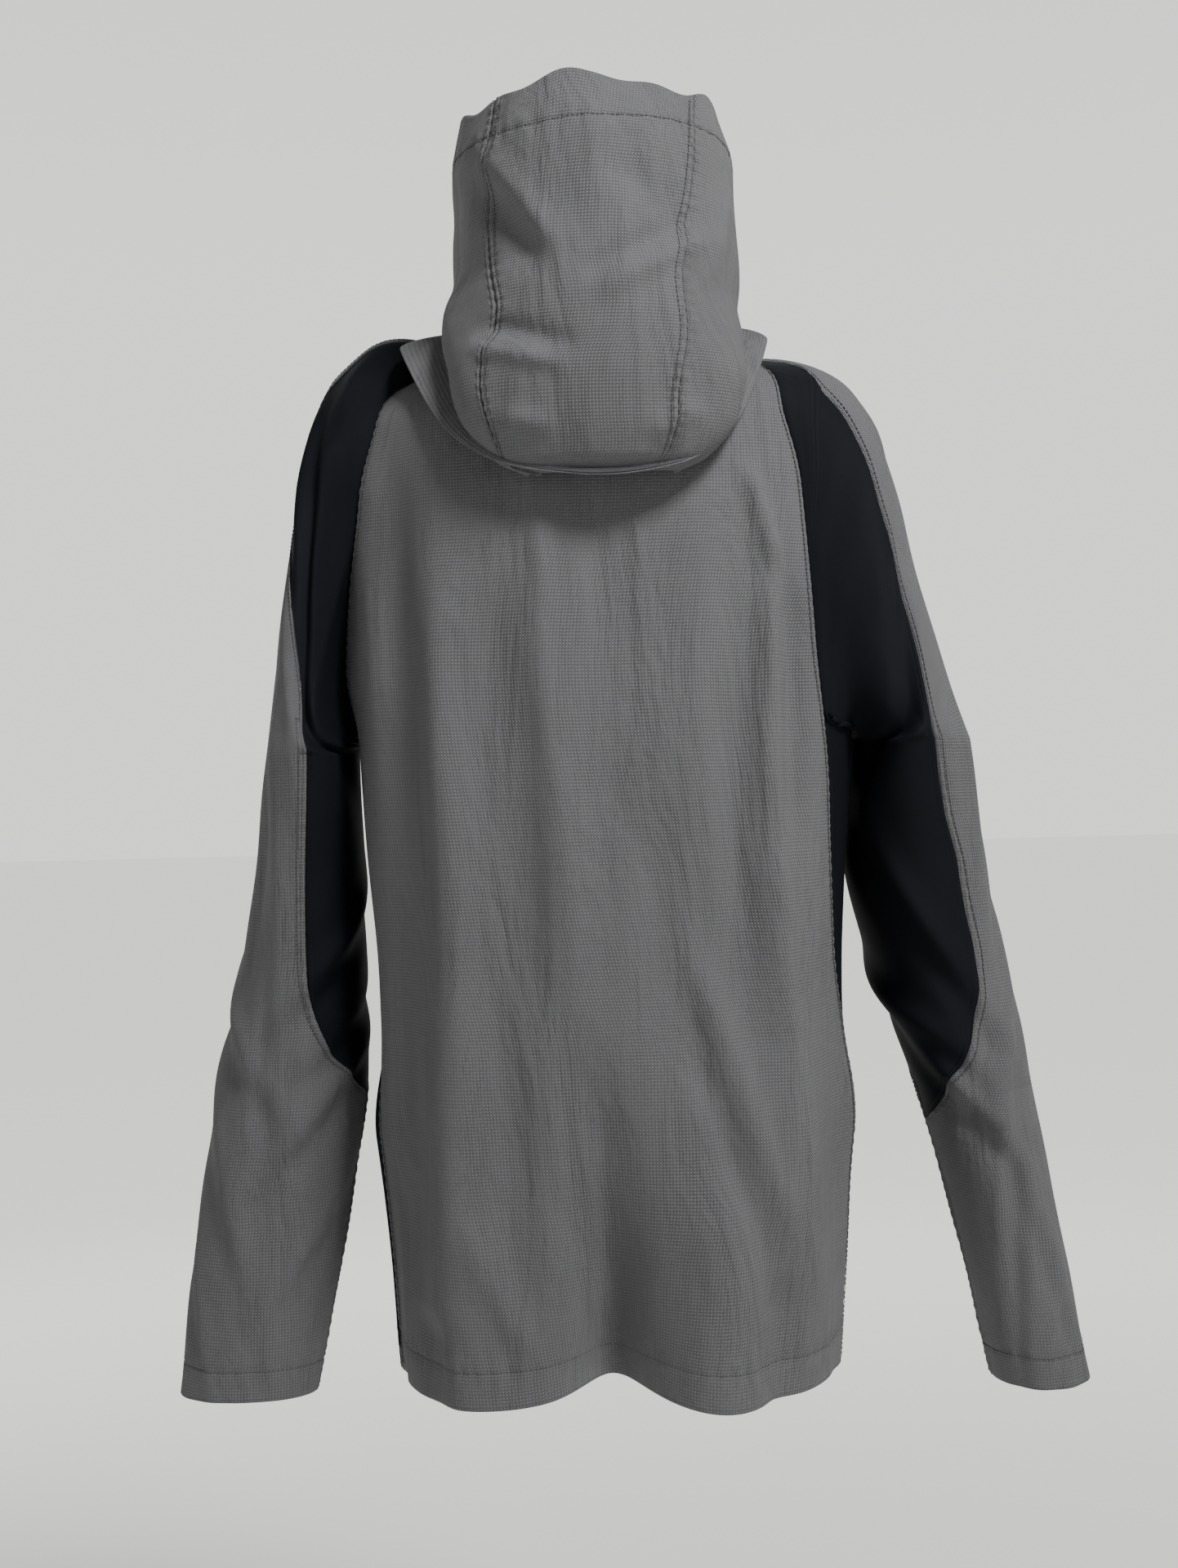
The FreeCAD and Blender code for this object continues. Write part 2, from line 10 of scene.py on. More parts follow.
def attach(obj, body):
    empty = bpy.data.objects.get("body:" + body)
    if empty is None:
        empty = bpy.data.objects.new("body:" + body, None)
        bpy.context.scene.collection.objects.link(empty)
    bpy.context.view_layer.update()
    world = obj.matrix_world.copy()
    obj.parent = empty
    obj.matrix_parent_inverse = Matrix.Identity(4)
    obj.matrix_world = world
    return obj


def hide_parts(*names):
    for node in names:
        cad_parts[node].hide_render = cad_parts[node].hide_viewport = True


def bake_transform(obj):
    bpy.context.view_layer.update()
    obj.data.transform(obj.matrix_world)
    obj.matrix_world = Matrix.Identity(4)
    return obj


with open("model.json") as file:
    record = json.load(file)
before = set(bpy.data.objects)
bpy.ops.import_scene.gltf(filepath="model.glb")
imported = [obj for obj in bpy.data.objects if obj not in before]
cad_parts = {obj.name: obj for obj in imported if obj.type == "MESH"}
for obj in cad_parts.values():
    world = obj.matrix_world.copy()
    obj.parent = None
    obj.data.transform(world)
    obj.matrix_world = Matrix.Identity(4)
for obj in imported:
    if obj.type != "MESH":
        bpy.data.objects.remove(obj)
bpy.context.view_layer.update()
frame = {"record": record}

# Everything is laid out in millimetres about the neck seam (x to the wearer's left, -y to the front),
# then moved so that the hang loop's seat is the origin.
SEAT = np.array([0.0, 64.5, -4.0])
CLOTH = 1.5
HEM = -672.0
HEM_DEPTH = 23
PIT = -250.0
# the sleeves run from a ring under the armpit down to the cuff
ARM_TOP = -262.0
ARM_LONG = 432.0
CUFF_DEPTH = 20
TOPSTITCH = 5.6


def rows(xs, ys):
    """Smooth monotone curve through a short list of stations, for whole arrays."""
    order = np.argsort(xs)
    x, y = np.array(xs, float)[order], np.array(ys, float)[order]
    d = np.diff(y) / np.diff(x)
    m = np.concatenate([[d[0]], np.zeros(len(x) - 2), [d[-1]]])
    for i in range(1, len(x) - 1):
        if d[i - 1] * d[i] > 0:
            m[i] = 2 * d[i - 1] * d[i] / (d[i - 1] + d[i])

    def at(v):
        v = np.clip(np.asarray(v, float), x[0], x[-1])
        i = np.clip(np.searchsorted(x, v, side="right") - 1, 0, len(x) - 2)
        h = x[i + 1] - x[i]
        t = (v - x[i]) / h
        return (
            y[i] * (1 + 2 * t) * (1 - t) ** 2 + m[i] * h * t * (1 - t) ** 2
            + y[i + 1] * t * t * (3 - 2 * t) + m[i + 1] * h * t * t * (t - 1)
        )

    return at


def ease(a, b, v):
    t = np.clip((np.asarray(v, float) - a) / (b - a), 0, 1)
    return t * t * (3 - 2 * t)


def unit_of(v):
    return v / np.maximum(np.linalg.norm(v, axis=-1, keepdims=True), 1e-9)


# ------------------------------------------------------------------ trunk
TORSO_Z = [60, 40, 20, 0, -8, -18, -32, -55, -100, -180, -250, -400, -475, -560, -672]
half_at = rows(TORSO_Z, [64, 66, 69, 76, 98, 124, 146, 160, 170, 172, 172, 164, 162, 153, 145])
back_at = rows(TORSO_Z, [58, 61, 64, 68, 78, 90, 100, 109, 117, 122, 125, 128, 129.5, 131, 134])
EDGE_Z = [-3, -8, -18, -32, -55, -100, -200, -250, -400, -672]
# ring angle of the back seam on each side: the trunk hangs a little twisted
BACK_EDGE = {
    "left": rows(
        [-3, -8, -18, -32, -55, -100, -200, -250, -300, -400, -672], [6, 12, 17, 20, 25, 24, 11, 8, 7, 8, 5]
    ),
    "right": rows(
        [-3, -8, -18, -32, -55, -100, -200, -250, -300, -400, -460, -672],
        [8, 16, 30, 40, 45, 44, 41, 37, 31, 20, 9, 5],
    ),
}
front_edge = rows(EDGE_Z, [-16, -22, -29, -33, -36, -37, -30, -24, -21, -20])
POWER = 2.3


def front_at(z):
    return -98 + 0.065 * z


def fold_x(z):
    return 44 + 0.0825 * (58 - z)


def fold_y(z):
    return -84 - 0.0495 * (58 - z)


def ring(t, w, yf, yb):
    c, s = np.cos(t), np.sin(t)
    x = w * np.sign(c) * np.abs(c) ** (2 / POWER)
    y = (yf + yb) / 2 + (yb - yf) / 2 * np.sign(s) * np.abs(s) ** (2 / POWER)
    return x, y


def angle_for_x(x, z):
    return -np.arccos(np.clip(x / half_at(z), 0, 0.999) ** (POWER / 2))


def plain_torso(t, z, off=0.0):
    """Trunk without folds; t runs from the left side (0) to the middle of the back (90 degrees)."""
    t, z = np.broadcast_arrays(np.asarray(t, float), np.asarray(z, float))
    x, y = ring(t, half_at(z) + off, front_at(z) - off, back_at(z) + off)
    a = np.where(np.abs((t + math.pi) % (2 * math.pi) - math.pi) <= math.pi / 2, t, math.pi - t)
    a = (a + math.pi) % (2 * math.pi) - math.pi
    tf = angle_for_x(fold_x(z), z)
    gap = fold_y(z) - ring(tf, half_at(z), front_at(z), back_at(z))[1]
    end = math.radians(-12)
    h = np.where(
        a <= tf,
        np.sin(math.pi / 2 * np.clip((a + math.pi / 2) / (tf + math.pi / 2), 0, 1)) ** 2,
        np.cos(math.pi / 2 * np.clip((a - tf) / (end - tf), 0, 1)) ** 2,
    )
    return np.stack([x, y + gap * h * (a < 0), z], -1)


def normals(p):
    """Outward normals of a grid of points."""
    return unit_of(np.cross(np.gradient(p, axis=1), np.gradient(p, axis=0)))


# soft ridges (+) and hollows (-) of the hanging back: x0, z0, x1, z1, width, height in millimetres
BACK_FOLDS = [
    (136, -70, 128, -330, 15, -8.0), (128, -330, 132, -600, 17, -6.0), (104, -150, 98, -430, 14, 7.0),
    (98, -430, 104, -672, 20, 9.0), (72, -170, 66, -480, 18, -5.0), (66, -480, 60, -672, 20, -7.0),
    (40, -95, 34, -280, 10, 4.0), (34, -280, 12, -470, 14, 4.6), (12, -330, 26, -672, 18, -4.0),
    (-92, -92, -104, -150, 7, 7.0), (-104, -150, -98, -320, 9, 7.0), (-98, -320, -112, -470, 11, 8.0),
    (-112, -470, -122, -640, 14, 8.0), (-118, -160, -120, -330, 9, -7.0), (-84, -190, -82, -450, 16, -8.0),
    (-60, -110, -58, -330, 16, 3.6), (-54, -400, -110, -580, 10, 6.0), (-44, -420, -94, -600, 10, -5.5),
    (-60, -540, -62, -672, 26, 13.0), (8, -460, 6, -672, 17, -6.0), (-28, -560, -10, -650, 12, 3.0),
    (38, -560, 28, -655, 12, 3.0), (-32, -290, -26, -440, 15, -3.6), (142, -330, 134, -640, 13, -5.0),
    (-152, -240, -150, -600, 20, -8.0), (52, -230, 50, -420, 13, -4.0), (0, -110, -6, -330, 20, -4.0),
    (88, -560, 60, -640, 10, 5.0), (118, -620, 112, -672, 12, -6.0), (-100, -600, -98, -672, 12, -6.0),
]
FRONT_FOLDS = [
    (60, -120, 80, -420, 14, 4.0), (96, -160, 110, -520, 16, -4.5), (-64, -120, -84, -420, 15, 4.2),
    (-98, -150, -112, -520, 15, -4.6), (40, -420, 46, -660, 14, 4.5), (-42, -400, -50, -660, 14, 4.5),
    (120, -330, 118, -640, 12, 4.0), (-122, -320, -118, -640, 12, 4.0), (70, -500, 74, -672, 14, -5.0),
    (-72, -480, -76, -672, 14, -5.0),
]


def ridge(px, pz, x0, z0, x1, z1, width, height):
    dx, dz = x1 - x0, z1 - z0
    length = math.hypot(dx, dz)
    u = ((px - x0) * dx + (pz - z0) * dz) / length
    v = ((px - x0) * dz - (pz - z0) * dx) / length
    u, v = u / length, v + 0.08 * width * np.sin(u / 23.0 + x0)
    ends = ease(-0.18, 0.25, u) * (1 if abs(z1 - HEM) < 1 else ease(1.18, 0.75, u))
    return height * np.exp(-((v / width) ** 2)) * ends


def torso_height(p):
    """How far the hanging cloth stands off the plain trunk at each point."""
    x, y, z = p[..., 0], p[..., 1], p[..., 2]
    back = ease(20, 62, y)
    h = np.zeros_like(x)
    for f in BACK_FOLDS:
        h += back * ridge(x, z, *f)
    front = ease(-25, -60, y) * ease(8, 30, np.abs(x))
    # the cloth lies flat round each hand pocket
    pocket = 0.96 * np.exp(-(((np.abs(x) - 118) / 26) ** 2)) * ease(-620, -575, z) * ease(-350, -390, z)
    front = front * (1 - pocket)
    for f in FRONT_FOLDS:
        h += front * ridge(x, z, *f)
    side = (1 - back) * (1 - ease(-25, -60, y))
    h += side * 2.5 * np.sin(y / 9.0 + np.sign(x)) * ease(-300, -520, z)
    # hollow where each sleeve rests against the trunk
    h -= 14 * np.exp(-((y / 45) ** 2)) * ease(-205, -262, z) * ease(-520, -440, z) * ease(90, 130, np.abs(x))
    h += 0.5 * np.sin(x / 31 + z / 47) * np.sin(z / 29 - x / 53 + y / 41) * ease(-20, -90, z)
    return h


def torso(t, z, off=0.0):
    """Hanging trunk cloth, off millimetres outside its own surface."""
    t, z = np.broadcast_arrays(np.asarray(t, float), np.asarray(z, float))
    p = plain_torso(t, z)
    e = 0.004
    along, up = plain_torso(t + e, z) - plain_torso(t - e, z), plain_torso(t, z + 1) - plain_torso(t, z - 1)
    from_middle, back = p[..., 0] - 6, ease(20, 62, p[..., 1])
    # the tail is pinched in at the middle of the back, towards the hem
    h = torso_height(p) - 46 * np.exp(-((from_middle / 33) ** 2)) * ease(-440, -690, z) ** 1.3 * back
    q = p + unit_of(np.cross(along, up)) * (h + off)[..., None]
    q[..., 2] += 13 * np.exp(-((from_middle / 42) ** 2)) * ease(-600, -672, z) * back
    return q


# ------------------------------------------------------------------ sleeves
SLEEVE_Z = [-262, -350, -430, -500, -600, -694]
SLEEVES = {
    "left": dict(
        sign=1, mid=[197, 203, 212, 222, 238, 254], side=[-4, -20, -26, -26, -24, -22],
        half=[30, 36, 45, 52, 51, 47], deep=[84, 74, 61, 50, 39, 32], cap=(80, 74, 26, 208),
    ),
    "right": dict(
        sign=-1, mid=[203, 210, 228, 247, 268, 286], side=[-4, -20, -26, -26, -24, -22],
        half=[38, 48, 45, 39, 35, 33], deep=[84, 72, 64, 58, 50, 46], cap=(123, 19, 62, 152),
    ),
}
for arm in SLEEVES.values():
    for key in ("mid", "side", "half", "deep"):
        arm[key] = rows(SLEEVE_Z, arm[key])
# angle of the grey and black seam on the back and the front of each arm, by distance down the arm
# (0 at the neck, 1 at the first ring under the armpit, 2 at the cuff)
SLEEVES["left"]["seam"] = rows(
    [0, 0.15, 0.35, 0.5, 0.6, 0.68, 0.74, 0.82, 1.0, 1.18, 1.34, 1.4, 1.46, 1.5, 1.54],
    [8, 12, 13, 14, 20, 34, 56, 84, 102, 99, 103, 112, 128, 148, 180],
)
SLEEVES["right"]["seam"] = rows(
    [0, 0.07, 0.15, 0.39, 0.69, 0.98, 1.1, 1.2, 1.3, 1.36, 1.44, 1.49, 1.53, 1.57, 1.6],
    [8, 18, 38, 48, 62, 82, 77, 68, 67, 71, 86, 103, 128, 150, 180],
)
FRONT_SEAM = rows([0, 0.35, 0.8, 1.0, 1.3, 1.44, 1.5, 1.54], [-8, -30, -70, -84, -92, -118, -148, -180])
SLEEVE_FOLDS = {
    # where down the arm, angle round it, length, tilt, width, height
    "left": [
        (0.70, 70, 0.5, 74, 0.028, -7.0), (0.62, 46, 0.34, 66, 0.022, 4.5), (0.9, 118, 0.3, 60, 0.03, -6.0),
        (1.12, 30, 0.5, 82, 0.022, -4.0), (1.16, 62, 0.7, 86, 0.024, 4.0), (1.46, 72, 0.6, 84, 0.020, -4.5),
        (1.42, 40, 0.42, 48, 0.022, 3.6), (1.58, 104, 0.34, -52, 0.02, 4.2), (1.7, 62, 0.4, 66, 0.022, 3.2),
        (1.8, 112, 0.3, -58, 0.02, 3.0), (1.3, 132, 0.3, -40, 0.022, 4.4), (1.44, 150, 0.26, -34, 0.02, -4.0),
        (1.86, 40, 0.3, 70, 0.018, 2.4), (1.35, -40, 0.4, 60, 0.026, 4.2), (1.52, -80, 0.3, -52, 0.024, 4.4),
        (1.70, -60, 0.3, 60, 0.024, 3.6), (1.2, -100, 0.4, 70, 0.03, 4.0),
    ],
    "right": [
        (0.72, 84, 0.5, 70, 0.030, -6.0), (0.6, 62, 0.4, 68, 0.024, 4.2), (0.95, 128, 0.3, 60, 0.03, -5.0),
        (1.10, 40, 0.6, 84, 0.022, 3.6), (1.30, 96, 0.4, -62, 0.022, 4.2), (1.42, 64, 0.4, 58, 0.022, -3.8),
        (1.52, 120, 0.34, -48, 0.022, 4.4), (1.6, 84, 0.4, 70, 0.02, 3.4), (1.74, 60, 0.5, -76, 0.022, 3.4),
        (1.8, 100, 0.4, 74, 0.02, -3.0), (1.9, 74, 0.2, 60, 0.018, 2.6), (1.4, 160, 0.3, -30, 0.024, 4.6),
        (1.26, -50, 0.4, 60, 0.03, 4.0), (1.52, -70, 0.3, -60, 0.026, 4.0), (1.72, -90, 0.3, 62, 0.024, 3.4),
    ],
}


def armhole(side, psi):
    """Armhole seam as on the left side of the trunk, by the angle that it meets the sleeve at."""
    back_edge = BACK_EDGE[side]
    a = np.degrees(np.asarray(psi, float)) % 360
    top = (a <= 10) | (a >= 350)
    s = np.where(a <= 10, a, a - 360) / 10
    under = (a >= 155) & (a <= 205)
    back = (a > 10) & (a < 155)
    fall = np.clip(np.where(back, (a - 10) / 145, (350 - a) / 145), 0, 1) ** 1.25
    z = np.where(top, -4.0, np.where(under, PIT, -4 + (PIT + 4) * fall))
    lo, hi = front_edge(z), back_edge(z)
    t = np.where(top, (lo + hi) / 2 + s * (hi - lo) / 2, np.where(back, hi, lo))
    t = np.where(under, back_edge(PIT) + (a - 155) / 50 * (front_edge(PIT) - back_edge(PIT)), t)
    return np.radians(t), z


def sleeve(side, psi, s, off=0.0):
    """Cloth of one arm: s 0 at the armhole seam, 1 under the armpit, 2 at the cuff edge."""
    arm = SLEEVES[side]
    sign = arm["sign"]
    psi, s = np.broadcast_arrays(np.asarray(psi, float), np.asarray(s, float))
    z = ARM_TOP - np.clip(s - 1, 0, 2) * ARM_LONG
    c, k = np.cos(psi), np.maximum(0, np.cos(psi))

    def at(angle, height):
        return np.stack([
            arm["mid"](height) + arm["half"](height) * np.cos(angle),
            arm["side"](height) + arm["deep"](height) * np.sin(angle), height,
        ], -1)

    b = at(psi, z)
    t, hz = armhole(side, psi)
    a = torso(t if sign > 0 else math.pi - t, hz)
    a[..., 0] *= sign
    v = np.clip(s, 0, 1)[..., None]
    b1 = at(psi, np.full_like(z, ARM_TOP))
    zero = np.zeros_like(c)
    reach = np.clip((200 - a[..., 0]) / 115, 0.08, 1)
    swing, up, tuck_in, rise = arm["cap"]
    first = a + np.stack([(8 + swing * k) * reach, zero, -6 + up * k * reach], -1)
    last = b1 + np.stack([-tuck_in * k - 4 * (1 - k), zero, 22 + rise * k], -1)
    inner = (c < 0)[..., None]
    w = ease(0, 0.35, -c)[..., None]
    first = np.where(inner, first * (1 - w) + w * (a + np.array([9.0, 0, -3])), first)
    last = np.where(inner, last * (1 - w) + w * (b1 + np.array([-4.0, 0, 10])), last)
    root = a * (1 - v) ** 3 + first * 3 * v * (1 - v) ** 2 + last * 3 * v * v * (1 - v) + b1 * v ** 3
    p = np.where((s < 1)[..., None], root, b)
    p[..., 0] *= sign
    # folds, fading out at the armhole seam
    out = unit_of(np.stack([sign * np.cos(psi) * 0.9, np.sin(psi), 0.25 * k * (s < 0.8)], -1))
    deg = np.degrees(psi)
    h = np.zeros_like(s)
    for s0, a0, length, tilt, width, height in SLEEVE_FOLDS[side]:
        da = ((deg - a0 + 180) % 360 - 180) / 360 * 0.75
        ds = s - s0
        ct, st = math.cos(math.radians(tilt)), math.sin(math.radians(tilt))
        u, w2 = da * ct + ds * st, -da * st + ds * ct
        ends = (u / (length * 0.5)) ** 2
        h += height * np.exp(-((w2 / width) ** 2) - ends)
        h -= 0.55 * height * np.exp(-(((w2 - 1.8 * width) / width) ** 2) - ends)
    h += 0.6 * np.sin(deg / 31 + s * 9) * np.sin(s * 23 + deg / 57)
    h *= ease(0.02, 0.3, s)
    p += out * (h + off)[..., None]
    return p


# ------------------------------------------------------------------ hood
HOOD_Z = [-96, -86, -60, -30, -5, 14, 40, 80, 118, 146]
hood_half = rows(HOOD_Z, [46, 66, 86, 94, 96, 97, 97, 96, 93, 86])
hood_back = rows(HOOD_Z, [139, 149, 158, 161, 161, 160, 157, 151, 142, 128])
hood_open = rows(HOOD_Z, [121, 119, 112, 96, 60, 20, -24, -24, -2, 18])


HOOD_FOLDS = [
    (70, 112, 26, 40, 9, 5), (78, 96, 34, 24, 10, -5), (0, 8, -70, 50, 8, 4), (4, 20, -66, 62, 8, -3.5),
    (76, -18, 20, -34, 7, 4), (74, -6, 16, -22, 8, -3.6), (-8, 90, -56, 60, 14, -4),
    (10, 130, -10, 60, 16, 3), (-70, 20, -84, 90, 8, 3.6), (88, 30, 92, 100, 9, -3.4),
    (-60, -60, -30, -76, 8, 3), (30, -70, 60, -64, 8, 3), (96, -20, 92, 40, 8, 3.2),
    (-92, -30, -95, 30, 8, -3.2),
]


def hood(a, v, off=0.0):
    """Outside of the hood: a is 0 at the middle of the back, 90 degrees at the face; v is the height."""
    a, z = np.broadcast_arrays(np.asarray(a, float), np.asarray(v, float))
    s, c = np.sin(a), np.cos(a)
    w, yb, ye = hood_half(z), hood_back(z), hood_open(z)
    x = w * np.sign(s) * np.abs(s) ** 0.9
    y = ye + (yb - ye) * np.sign(c) * np.abs(c) ** 0.8
    n = np.stack([s, c, np.zeros_like(s)], -1)
    deg = np.degrees(a)
    h = np.zeros_like(z)
    for f in HOOD_FOLDS:
        h += ridge(x, z, *f)
    h += 1.2 * np.sin(deg / 17 + z / 23) * np.sin(z / 19 - deg / 29)
    q = np.stack([x, y, z], -1) + n * (h + off)[..., None]
    rim = ease(112, 146, z)
    q[..., 2] += rim * (3.5 * np.sin(deg / 11 + 0.8) + 2.0 * np.sin(deg / 5.2) + 4 * np.cos(a * 2) - 3)
    return q


# ------------------------------------------------------------------ meshes
def to_frame(p):
    return (p - SEAT) / 1000.0


def link(name, mesh):
    ob = bpy.data.objects.new(name, mesh)
    bpy.context.scene.collection.objects.link(ob)
    return ob


def from_bmesh(name, bm, mats):
    mesh = bpy.data.meshes.new(name)
    bm.to_mesh(mesh)
    bm.free()
    for m in mats:
        mesh.materials.append(m)
    return link(name, mesh)


def mesh_of(name, verts, faces, mat):
    mesh = bpy.data.meshes.new(name)
    mesh.from_pydata(to_frame(np.asarray(verts, float)).tolist(), [], faces)
    mesh.materials.append(mat)
    mesh.polygons.foreach_set("use_smooth", [True] * len(mesh.polygons))
    mesh.update()
    return link(name, mesh)


def shell(name, outer, mats, flip=False, thick=CLOTH):
    """Closed cloth from a grid of outside points, with its own inside face and a rim that joins the two."""
    nv, nu = outer.shape[:2]
    inner = outer - normals(outer) * (-1 if flip else 1) * thick
    du = np.linalg.norm(np.diff(outer, axis=1), axis=-1)
    u = np.concatenate([np.zeros((nv, 1)), np.cumsum(du, axis=1)], 1)
    u -= u.mean(axis=1, keepdims=True)
    dv = np.linalg.norm(np.diff(outer, axis=0), axis=-1).mean(axis=1)
    v = np.concatenate([[0], np.cumsum(dv)])[:, None] * np.ones((1, nu))
    co = np.concatenate([outer.reshape(-1, 3), inner.reshape(-1, 3)])
    ids = np.arange(nv * nu).reshape(nv, nu)
    quads, sides = [], []

    def patch(grid, turn, slot):
        q = np.stack([grid[:-1, :-1], grid[:-1, 1:], grid[1:, 1:], grid[1:, :-1]], -1).reshape(-1, 4)
        quads.append(q[:, ::-1] if turn else q)
        sides.append(np.full(len(q), slot))

    patch(ids, flip, 0)
    patch(ids + nv * nu, not flip, 1)
    rim = np.concatenate([ids[0, :], ids[1:, -1], ids[-1, -2::-1], ids[-2:0:-1, 0]])
    nxt = np.roll(rim, -1)
    q = np.stack([rim, nxt, nxt + nv * nu, rim + nv * nu], -1)
    quads.append(q if flip else q[:, ::-1])
    sides.append(np.zeros(len(q), int))
    quads, sides = np.concatenate(quads), np.concatenate(sides)
    ob = mesh_of(name, co, quads.tolist(), mats[0])
    mesh = ob.data
    mesh.materials.append(mats[1])
    uv = np.stack([u, v], -1).reshape(-1, 2) / 1000.0
    uv = np.concatenate([uv, uv])
    loops = np.empty(len(mesh.loops), int)
    mesh.loops.foreach_get("vertex_index", loops)
    mesh.uv_layers.new(name="cloth").data.foreach_set("uv", uv[loops].ravel())
    mesh.polygons.foreach_set("material_index", sides.tolist())
    mesh.update()
    return ob


def spaced(count, total, near=True, far=True):
    """Fractions 0..1 of a panel's width (total), with extra ones close to its sewn edges."""
    base = list(np.linspace(0, 1, count))
    for d in (0.7, 1.6, 3.0, 4.6, 5.4, 6.2, 7.4, 9.5):
        base += [d / total] * near + [1 - d / total] * far
    return np.unique(np.round(np.array(base), 6))


def seam_profile(d, along, amount=1.0):
    """Surface change close to a sewn edge: it dips at the seam, and the topstitching puckers it."""
    dip = -1.1 * np.exp(-((d / 1.5) ** 2)) - 0.45 * np.exp(-(((d - TOPSTITCH) / 0.8) ** 2))
    swell = 0.5 * np.exp(-(((d - 3.2) / 1.4) ** 2))
    pucker = 0.35 * np.sin(along * 0.9 + 1.7 * np.sin(along * 0.11)) * np.exp(-(((d - 4) / 5) ** 2))
    return amount * (dip + swell + pucker)


def line_length(p):
    return np.concatenate([[0], np.cumsum(np.linalg.norm(np.diff(p, axis=0), axis=-1))])


STITCH_SHAPE = [(-0.15, 0.3), (0.12, 0.9), (0.22, 1.0), (0.12, 0.9), (-0.15, 0.3)]


def stitches(name, paths, mat, pitch=3.1, radius=0.34):
    """Thread stitches lying on the cloth along each path of points and normals."""
    ring_n = 6
    verts, faces, base = [], [], 0
    for pts, nrm in paths:
        run = line_length(pts)
        count = int(run[-1] / pitch)
        if count < 1:
            continue
        mids = (np.arange(count) + 0.5) * pitch
        stations = [
            np.stack([np.interp(mids + f * pitch, run, pts[:, k]) for k in range(3)], -1)
            for f in (-0.40, -0.30, 0.0, 0.30, 0.40)
        ]
        up = unit_of(np.stack([np.interp(mids, run, nrm[:, k]) for k in range(3)], -1))
        wide = np.cross(unit_of(stations[-1] - stations[0]), up)
        block = np.zeros((count, 5, ring_n, 3))
        for j, (lift, size) in enumerate(STITCH_SHAPE):
            centre = stations[j] + up * lift
            for i in range(ring_n):
                w = 2 * math.pi * i / ring_n
                block[:, j, i] = centre + radius * size * (math.cos(w) * wide + math.sin(w) * up)
        verts.append(block.reshape(-1, 3))
        idx = base + np.arange(count * 5 * ring_n).reshape(count, 5, ring_n)
        base += count * 5 * ring_n
        for j in range(4):
            a, b = idx[:, j], idx[:, j + 1]
            faces += np.stack([a, np.roll(a, -1, 1), np.roll(b, -1, 1), b], -1).reshape(-1, 4).tolist()
        faces += idx[:, 0, ::-1].tolist() + idx[:, 4].tolist()
    return mesh_of(name, np.concatenate(verts), faces, mat)


# ------------------------------------------------------------------ materials
def material(name, colour, rough=0.7, sheen=0.0, spec=0.3, metal=0.0):
    m = bpy.data.materials.new(name)
    m.use_nodes = True
    bsdf = m.node_tree.nodes["Principled BSDF"]
    bsdf.inputs["Base Color"].default_value = (*colour, 1)
    bsdf.inputs["Roughness"].default_value = rough
    bsdf.inputs["Sheen Weight"].default_value = sheen
    bsdf.inputs["Sheen Roughness"].default_value = 0.45
    bsdf.inputs["Specular IOR Level"].default_value = spec
    bsdf.inputs["Metallic"].default_value = metal
    return m, m.node_tree, bsdf


def sums(op, a, b=None, clamp=False):
    """Result of a maths node in the node tree that socket a belongs to."""
    n = a.id_data.nodes.new("ShaderNodeMath")
    n.operation = op
    n.use_clamp = clamp
    for i, v in enumerate((a, b)):
        if isinstance(v, (int, float)):
            n.inputs[i].default_value = v
        elif v is not None:
            a.id_data.links.new(v, n.inputs[i])
    return n.outputs[0]


def times(a, b, clamp=False):
    return sums("MULTIPLY", a, b, clamp)


def plus(a, b):
    return sums("ADD", a, b)


def wave(along, length):
    """Sine wave of a distance; length is its pitch in millimetres."""
    return sums("SINE", times(along, 2 * math.pi / length))


def cloth_axes(tree):
    """Distances along the weave and across it, in millimetres."""
    uv = tree.nodes.new("ShaderNodeUVMap")
    uv.uv_map = "cloth"
    sep = tree.nodes.new("ShaderNodeSeparateXYZ")
    tree.links.new(uv.outputs[0], sep.inputs[0])
    return times(sep.outputs[0], 1000.0), times(sep.outputs[1], 1000.0)


def noise(tree, scale, detail=3.0, stretch=None, twist=0.0):
    co = tree.nodes.new("ShaderNodeTexCoord")
    n = tree.nodes.new("ShaderNodeTexNoise")
    n.inputs["Scale"].default_value = scale
    n.inputs["Detail"].default_value = detail
    n.inputs["Distortion"].default_value = twist
    where = co.outputs["Object"]
    if stretch:
        mapping = tree.nodes.new("ShaderNodeMapping")
        mapping.inputs["Scale"].default_value = stretch
        tree.links.new(where, mapping.inputs["Vector"])
        where = mapping.outputs[0]
    tree.links.new(where, n.inputs["Vector"])
    return n.outputs["Fac"]


def paint(bsdf, fac, dark, light):
    """Base colour between two tones."""
    r = bsdf.id_data.nodes.new("ShaderNodeValToRGB")
    r.color_ramp.elements[0].color = (*dark, 1)
    r.color_ramp.elements[1].color = (*light, 1)
    bsdf.id_data.links.new(fac, r.inputs[0])
    bsdf.id_data.links.new(r.outputs[0], bsdf.inputs["Base Color"])


def bump(bsdf, height, distance, strength, under=None):
    b = bsdf.id_data.nodes.new("ShaderNodeBump")
    b.inputs["Strength"].default_value = strength
    b.inputs["Distance"].default_value = distance
    bsdf.id_data.links.new(height, b.inputs["Height"])
    if under is not None:
        bsdf.id_data.links.new(under, b.inputs["Normal"])
    bsdf.id_data.links.new(b.outputs[0], bsdf.inputs["Normal"])
    return b.outputs[0]


